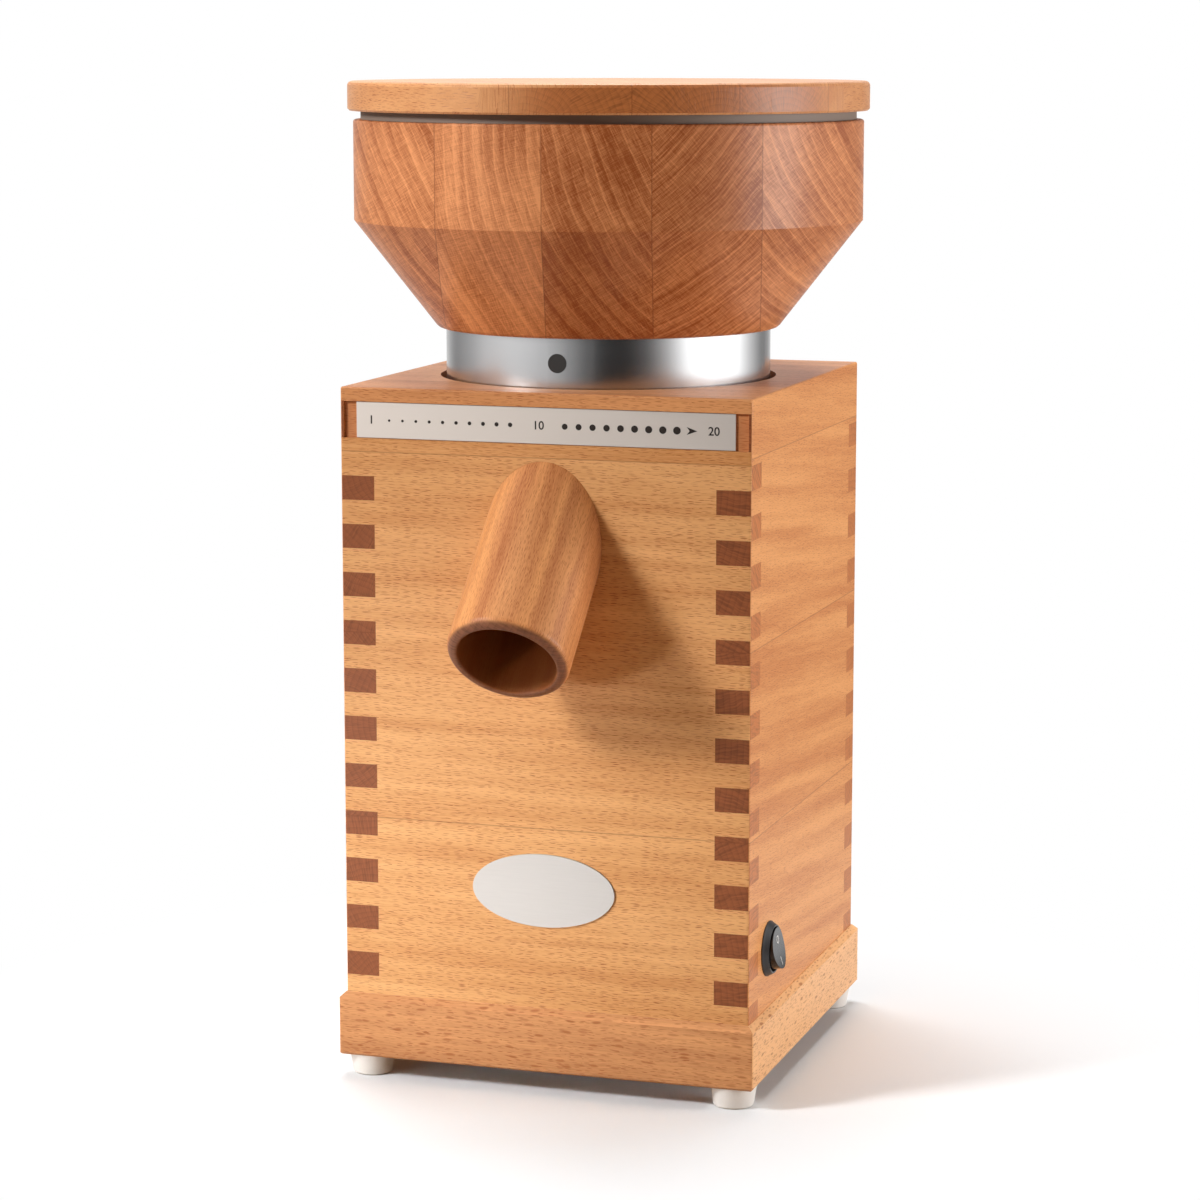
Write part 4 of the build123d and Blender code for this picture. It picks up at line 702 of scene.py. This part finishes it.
def at_mouth(piece, edge, radius):
    """Whether an edge lies at a radius in the plane of the spout's mouth."""
    for corner in edge.vertices:
        out = piece.data.vertices[corner].co - SPOUT_LEAVES
        reach = out.dot(SPOUT_OUTWARD)
        far = (out - SPOUT_OUTWARD * reach).length
        if abs(reach - SPOUT_REACH) > NEAR or abs(far - radius) > NEAR:
            return False
    return True


bpy.ops.object.select_all(action="DESELECT")
bpy.ops.mesh.primitive_cylinder_add(
    vertices=96, radius=SPOUT_R, depth=SPOUT_REACH + SPOUT_BACK,
    location=SPOUT_LEAVES + SPOUT_OUTWARD * (SPOUT_REACH - SPOUT_BACK) / 2,
    rotation=(radians(180 - SPOUT_ANGLE), 0, 0))
spout = bpy.context.object
spout.name = "spout_turned"
settle(spout)
pick(spout, "FACE", lambda face: face.normal.dot(SPOUT_OUTWARD) > 0.99)
bpy.ops.mesh.inset(thickness=SPOUT_R - SPOUT_BORE)
bpy.ops.mesh.extrude_region_move(
    TRANSFORM_OT_translate={"value": -SPOUT_OUTWARD * (SPOUT_REACH + BORE_BACK)})
bpy.ops.object.mode_set(mode="OBJECT")
pick(spout, "EDGE", lambda edge: at_mouth(spout, edge, SPOUT_R))
bpy.ops.mesh.bevel(offset=MOUTH_ROUND, segments=8, profile=0.5)
bpy.ops.object.mode_set(mode="OBJECT")
pick(spout, "EDGE", lambda edge: at_mouth(spout, edge, SPOUT_BORE))
bpy.ops.mesh.bevel(offset=BORE_ROUND, segments=3, profile=0.5)
bpy.ops.mesh.select_all(action="SELECT")
bpy.ops.mesh.bisect(plane_co=(0, PANEL_INSIDE, 0), plane_no=(0, 1, 0), clear_outer=True)
bpy.ops.mesh.select_all(action="DESELECT")
bpy.ops.mesh.select_mode(type="EDGE")
bpy.ops.mesh.select_non_manifold()
bpy.ops.mesh.bridge_edge_loops()
bpy.ops.mesh.select_all(action="SELECT")
bpy.ops.mesh.normals_make_consistent(inside=False)
bpy.ops.object.mode_set(mode="OBJECT")
bpy.ops.object.shade_smooth_by_angle(angle=radians(35))

SPOUT_END = (0.235, 0.094, 0.048)
SPOUT_MARKS = ((3.4, 1.0, 6.0), 2.8, 0.40, 0.75)
spout_turn = Matrix.Rotation(radians(90 - SPOUT_ANGLE), 3, "X") @ Matrix.Rotation(-pi / 2, 3, "Z")

# the bore's wall is painted dark: painted shade
beech("spout_beech", tuple(SPOUT_LEAVES), tuple(spout_turn.to_euler()), (0.76, 0.355, 0.132),
      (0.42, 0.140, 0.048), SPOUT_END, board=200.0, first=-100.0, pith=30.0, seed=6.0,
      marks=SPOUT_MARKS, lean=0.0, bands=7.0, banding=2.2, bore=SPOUT_BORE / MM,
      inside=(0.21, 0.056, 0.012)).wear(spout)
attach(spout, "housing")
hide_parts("spout")


# ---------------------------------------------------------------- grinding chamber
# Cast and blasted aluminium, hung from the top board by four screws; its floor is a second
# casting. The motor's end shields and the mill's smaller castings have the same skin.

CAST_GREY = (0.55, 0.55, 0.56)

cast_aluminium = Finish("cast_aluminium", roughness=0.55, Metallic=1.0)
blast = cast_aluminium.noise(cast_aluminium.here(), scale=1400, detail=3, roughness=0.6)
cast_aluminium.paint(cast_aluminium.mix(blast, shade(CAST_GREY, 0.8), CAST_GREY))
cast_aluminium.bump(blast, depth=0.00008, strength=0.6)
cast_aluminium.wear("grinding_chamber", "chamber_floor", "upper_end_shield",
                    "lower_end_shield", "stone_holder", "rotor_end_rings")
screw_zinc.wear("chamber_screws", "motor_bolts", "tie_bolts", "stone_nut", "capacitor_strap")


# ---------------------------------------------------------------- thread sleeve and plastics
# The thread sleeve, the upper stone's carrier, the wiper, the fan and the terminal block are
# moulded in grey plastic. The seals and the motor's dampers are rubber.

grey_plastic = moulded("grey_plastic", (0.25, 0.25, 0.255))
grey_plastic.wear("thread_sleeve", "stone_carrier", "flour_wiper", "cooling_fan",
                  "terminal_block")
screw_zinc.wear("sleeve_screws", "ring_screws")
moulded("seal_rubber", (0.19, 0.145, 0.115), 0.6).wear("lid_seal", "shaft_seal")
moulded("damper_rubber", (0.02, 0.02, 0.02), 0.7).wear("motor_dampers")


# ---------------------------------------------------------------- motor
# Stator and rotor are stacks of thin steel sheets, with coils of lacquered copper wire. The
# shaft, the bearings, the pins and the springs are of bright steel.

SHEETS = 2000                # per metre of the stack

laminations = Finish("lamination_steel", roughness=0.5, Metallic=0.9)
height = laminations.split(laminations.here()).out("Z")
sheet = (height * SHEETS).math("FRACT")
laminations.paint(laminations.mix(sheet ** 3, (0.24, 0.25, 0.26), (0.06, 0.06, 0.065)))
laminations.bump(sheet, depth=0.0001, strength=0.4)
laminations.wear("stator_core", "rotor_core")

copper = Finish("winding_copper", roughness=0.3, Metallic=0.8)
turns = copper.noise(copper.here(), scale=700, detail=2)
copper.paint(copper.mix(turns, (0.40, 0.12, 0.04), (0.70, 0.28, 0.10)))
copper.bump(turns, depth=0.0004, strength=0.6)
copper.wear("stator_windings")

brushed("shaft_steel", (0.56, 0.56, 0.57), 0.25, FLAT_TURN).wear(
    "rotor_shaft", "upper_bearing_outer", "lower_bearing_outer", "upper_bearing_inner",
    "lower_bearing_inner", "guide_pins", "drive_pins", "carrier_springs", "fan_clip")


# ---------------------------------------------------------------- millstones
# Two stones of bonded grit, furrowed on the faces that meet. The lower one turns with the
# shaft, and the upper one sits in its carrier.

stone = Finish("millstone_grit", roughness=0.9)
grit = stone.noise(stone.here(), scale=900, detail=4, roughness=0.7)
stone.paint(stone.mix(grit, (0.33, 0.31, 0.28), (0.62, 0.60, 0.56)))
stone.bump(grit, depth=0.0006, strength=0.8)
stone.wear("lower_millstone", "upper_millstone")


# ---------------------------------------------------------------- capacitor and mains bush
# The run capacitor is a drawn aluminium can, held by a zinc-plated strap. The bush in the back
# panel, which the mains lead goes through, is black plastic.

brushed("capacitor_can", (0.7, 0.7, 0.71), 0.3, FLAT_TURN).wear("run_capacitor")
black_plastic = moulded("black_plastic", (0.022, 0.022, 0.024), 0.38)
black_plastic.wear("mains_bush")


# ---------------------------------------------------------------- switch
# A round rocker switch pushed into the right panel: black bezel and barrel, brass tabs, and a
# rocker with a ring on its upper half and a bar on its lower half.

black_plastic.wear("switch_body")
moulded("rocker_plastic", (0.018, 0.018, 0.020), 0.20).wear("switch_rocker")
brushed("terminal_brass", (0.74, 0.53, 0.21), 0.3).wear("switch_terminals")

ROCKER_Y = -0.03809
MARK_X = 0.11                # where the marks start, clear of the rocker
MARK_T = 0.00006
RING_Z = 0.0668
RING_R = 0.0017
RING_BAND = 0.0005
BAR_Z = 0.0578
BAR_H = 0.0034
BAR_SHARE = 0.16             # its width, as a share of its height

white_ink = moulded("rocker_ink", (0.75, 0.75, 0.74), 0.45)


def print_on_rocker(mark, name):
    """Lays a flat mark on the rocker's dished face and gives the ink its thickness."""
    mark.name = name
    settle(mark)
    wrap = mark.modifiers.new("wrap", "SHRINKWRAP")
    wrap.target = nodes["switch_rocker"]
    wrap.wrap_method = "PROJECT"
    wrap.use_project_x = True
    wrap.use_negative_direction = True
    wrap.use_positive_direction = False
    alone(mark)
    bpy.ops.object.modifier_apply(modifier="wrap")
    film = mark.modifiers.new("film", "SOLIDIFY")
    film.thickness = MARK_T
    film.offset = 0
    bpy.ops.object.modifier_apply(modifier="film")
    white_ink.wear(mark)
    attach(mark, "rocker")


bpy.ops.object.select_all(action="DESELECT")
bpy.ops.mesh.primitive_circle_add(
    vertices=32, radius=RING_R, fill_type="NGON", location=(MARK_X, ROCKER_Y, RING_Z),
    rotation=(0, pi / 2, 0))
ring = bpy.context.object
pick(ring, "FACE", lambda face: True)
bpy.ops.mesh.inset(thickness=RING_BAND)
bpy.ops.mesh.delete(type="FACE")
bpy.ops.object.mode_set(mode="OBJECT")
print_on_rocker(ring, "rocker_ring")

bpy.ops.object.select_all(action="DESELECT")
bpy.ops.mesh.primitive_plane_add(
    size=BAR_H, location=(MARK_X, ROCKER_Y, BAR_Z), rotation=(0, pi / 2, 0))
bar = bpy.context.object
bar.scale = (1, BAR_SHARE, 1)
pick(bar, "FACE", lambda face: True)
bpy.ops.mesh.subdivide(number_cuts=5)
bpy.ops.object.mode_set(mode="OBJECT")
print_on_rocker(bar, "rocker_bar")


# ---------------------------------------------------------------- hopper
# A bowl turned outside and in from five beech boards glued side by side. It shows their end
# grain at the front and back, so each board has its own slant of rings and its own tone.

BOWL_TURN = (0, 0, radians(-74.2))   # fibres towards the front, a little to the right
BOWL_BOARD = 44.8
BOWL_FIRST = -113.4                  # mm from the axis to the first board's outer side
BOWL_LIGHT = (0.80, 0.345, 0.145)
BOWL_DARK = (0.31, 0.082, 0.021)
BOWL_GLUE = (0.16, 0.045, 0.016)
BOWL_ROUGHNESS = 0.36
BOWL_BOW = 0.0035                    # how the rings curve, per mm
BOWL_STRAY = 9                       # mm that they stray from true curves
WIDEST = 10                          # mm of ring that a ramp's 1 stands for

# tone, lean of the rings' normal in turns, and their width in mm, one board after the other
BOWL_WOOD = [
    (0.36, 0.090, 4.2), (0.24, 0.048, 4.6), (0.52, 0.078, 4.4), (0.48, 0.365, 1.4),
    (0.42, 0.105, 3.8),
]


def turned_beech():
    """The bowl's wood: rings with a fine weave of rays and pores, each board its own way."""
    finish = Finish("bowl_beech", Specular_IOR_Level=0.22)
    place, _ = along(finish, (0, MILL_Y, 0.3650), BOWL_TURN)
    deep, share, z = place, (place.out("Y") - BOWL_FIRST) / BOWL_BOARD, place.out("Z")
    which = share.math("FLOOR")
    side = (share - which - 0.5) * BOWL_BOARD
    stops = []
    for k, (tone, lean, width) in enumerate(BOWL_WOOD):
        stops.append((k / len(BOWL_WOOD), (tone, lean, width / WIDEST)))
    settings = {"spread": "CONSTANT", "stops": stops}
    kinds = finish.add("ValToRGB", settings, [(which + 0.5) / len(BOWL_WOOD)])
    kind = finish.add("SeparateColor", sockets=[kinds])
    slant = kind.out(1) * (2 * pi)
    across = side * slant.math("COSINE") + z * slant.math("SINE")
    up = z * slant.math("COSINE") - side * slant.math("SINE")
    bend = finish.noise(finish.three(across / 40, up / 70, which * 7.3), detail=2.0)
    turn = (across - up * up * BOWL_BOW + bend * BOWL_STRAY) / (kind.out(2) * WIDEST)
    rings = turn.math("FRACT")
    late = finish.smooth(abs(rings - 0.5), 0.36, 0.49)
    wide = finish.noise(finish.three(turn * 0.9, up / 90, which), detail=1.0)
    rays = finish.noise(finish.three(across / 5.0, up / 0.30, deep / 20), detail=1.0)
    pores = finish.noise(finish.three(across / 0.32, up / 5.0, deep / 20), detail=1.0)
    cloud = finish.noise(finish.three(side / 40, z / 40, deep / 60 + which * 3.1), detail=2.0)
    depth = kind * 1.1 + (wide - 0.5) * 1.2 + rings * 0.18 - late * 0.22 + (rays - 0.5) * 0.9
    depth = depth + (pores - 0.5) * 0.9 + (cloud - 0.5) * 0.9 + 0.06
    colour = finish.mix(depth, BOWL_LIGHT, BOWL_DARK)
    joint = finish.smooth(BOWL_BOARD / 2 - abs(side), GLUE_FADES, GLUE_FULL)
    finish.paint(finish.mix(joint * 0.45, colour, BOWL_GLUE))
    finish.roughen(pores, BOWL_ROUGHNESS, 0.12)
    finish.bump(rays + pores, depth=0.00002, strength=0.4)
    return finish


turned_beech().wear("hopper_staves")
grey_plastic.wear("hopper_ring", "feed_funnel", "press_ring")


# ---------------------------------------------------------------- collar and marker
# A sleeve of brushed stainless steel round the hopper's thread. The black marker in its front
# passes along the scale as the hopper turns.

brushed("collar_steel", (0.62, 0.62, 0.625), 0.24, FLAT_TURN, streak=(400.0, 400.0),
        anisotropic=0.0).wear("hopper_collar")
moulded("marker_black", (0.012, 0.010, 0.009), 0.55).wear("setting_marker")


# ---------------------------------------------------------------- lid
# A disc of five beech boards glued side by side, its rim showing their end grain. A step
# underneath, with a grey seal round it, drops into the bowl.

LID_TURN = (0, 0, radians(-56))      # fibres towards the front, more to the right
LID_END = (0.45, 0.155, 0.046)

beech("lid_beech", (0, MILL_Y, 0.4200), LID_TURN, (0.72, 0.36, 0.15), (0.56, 0.235, 0.085),
      LID_END, board=45.6, first=-113.8, pith=22.0, seed=11.0, roughness=0.36, gloss=0.34,
      ).wear("lid")
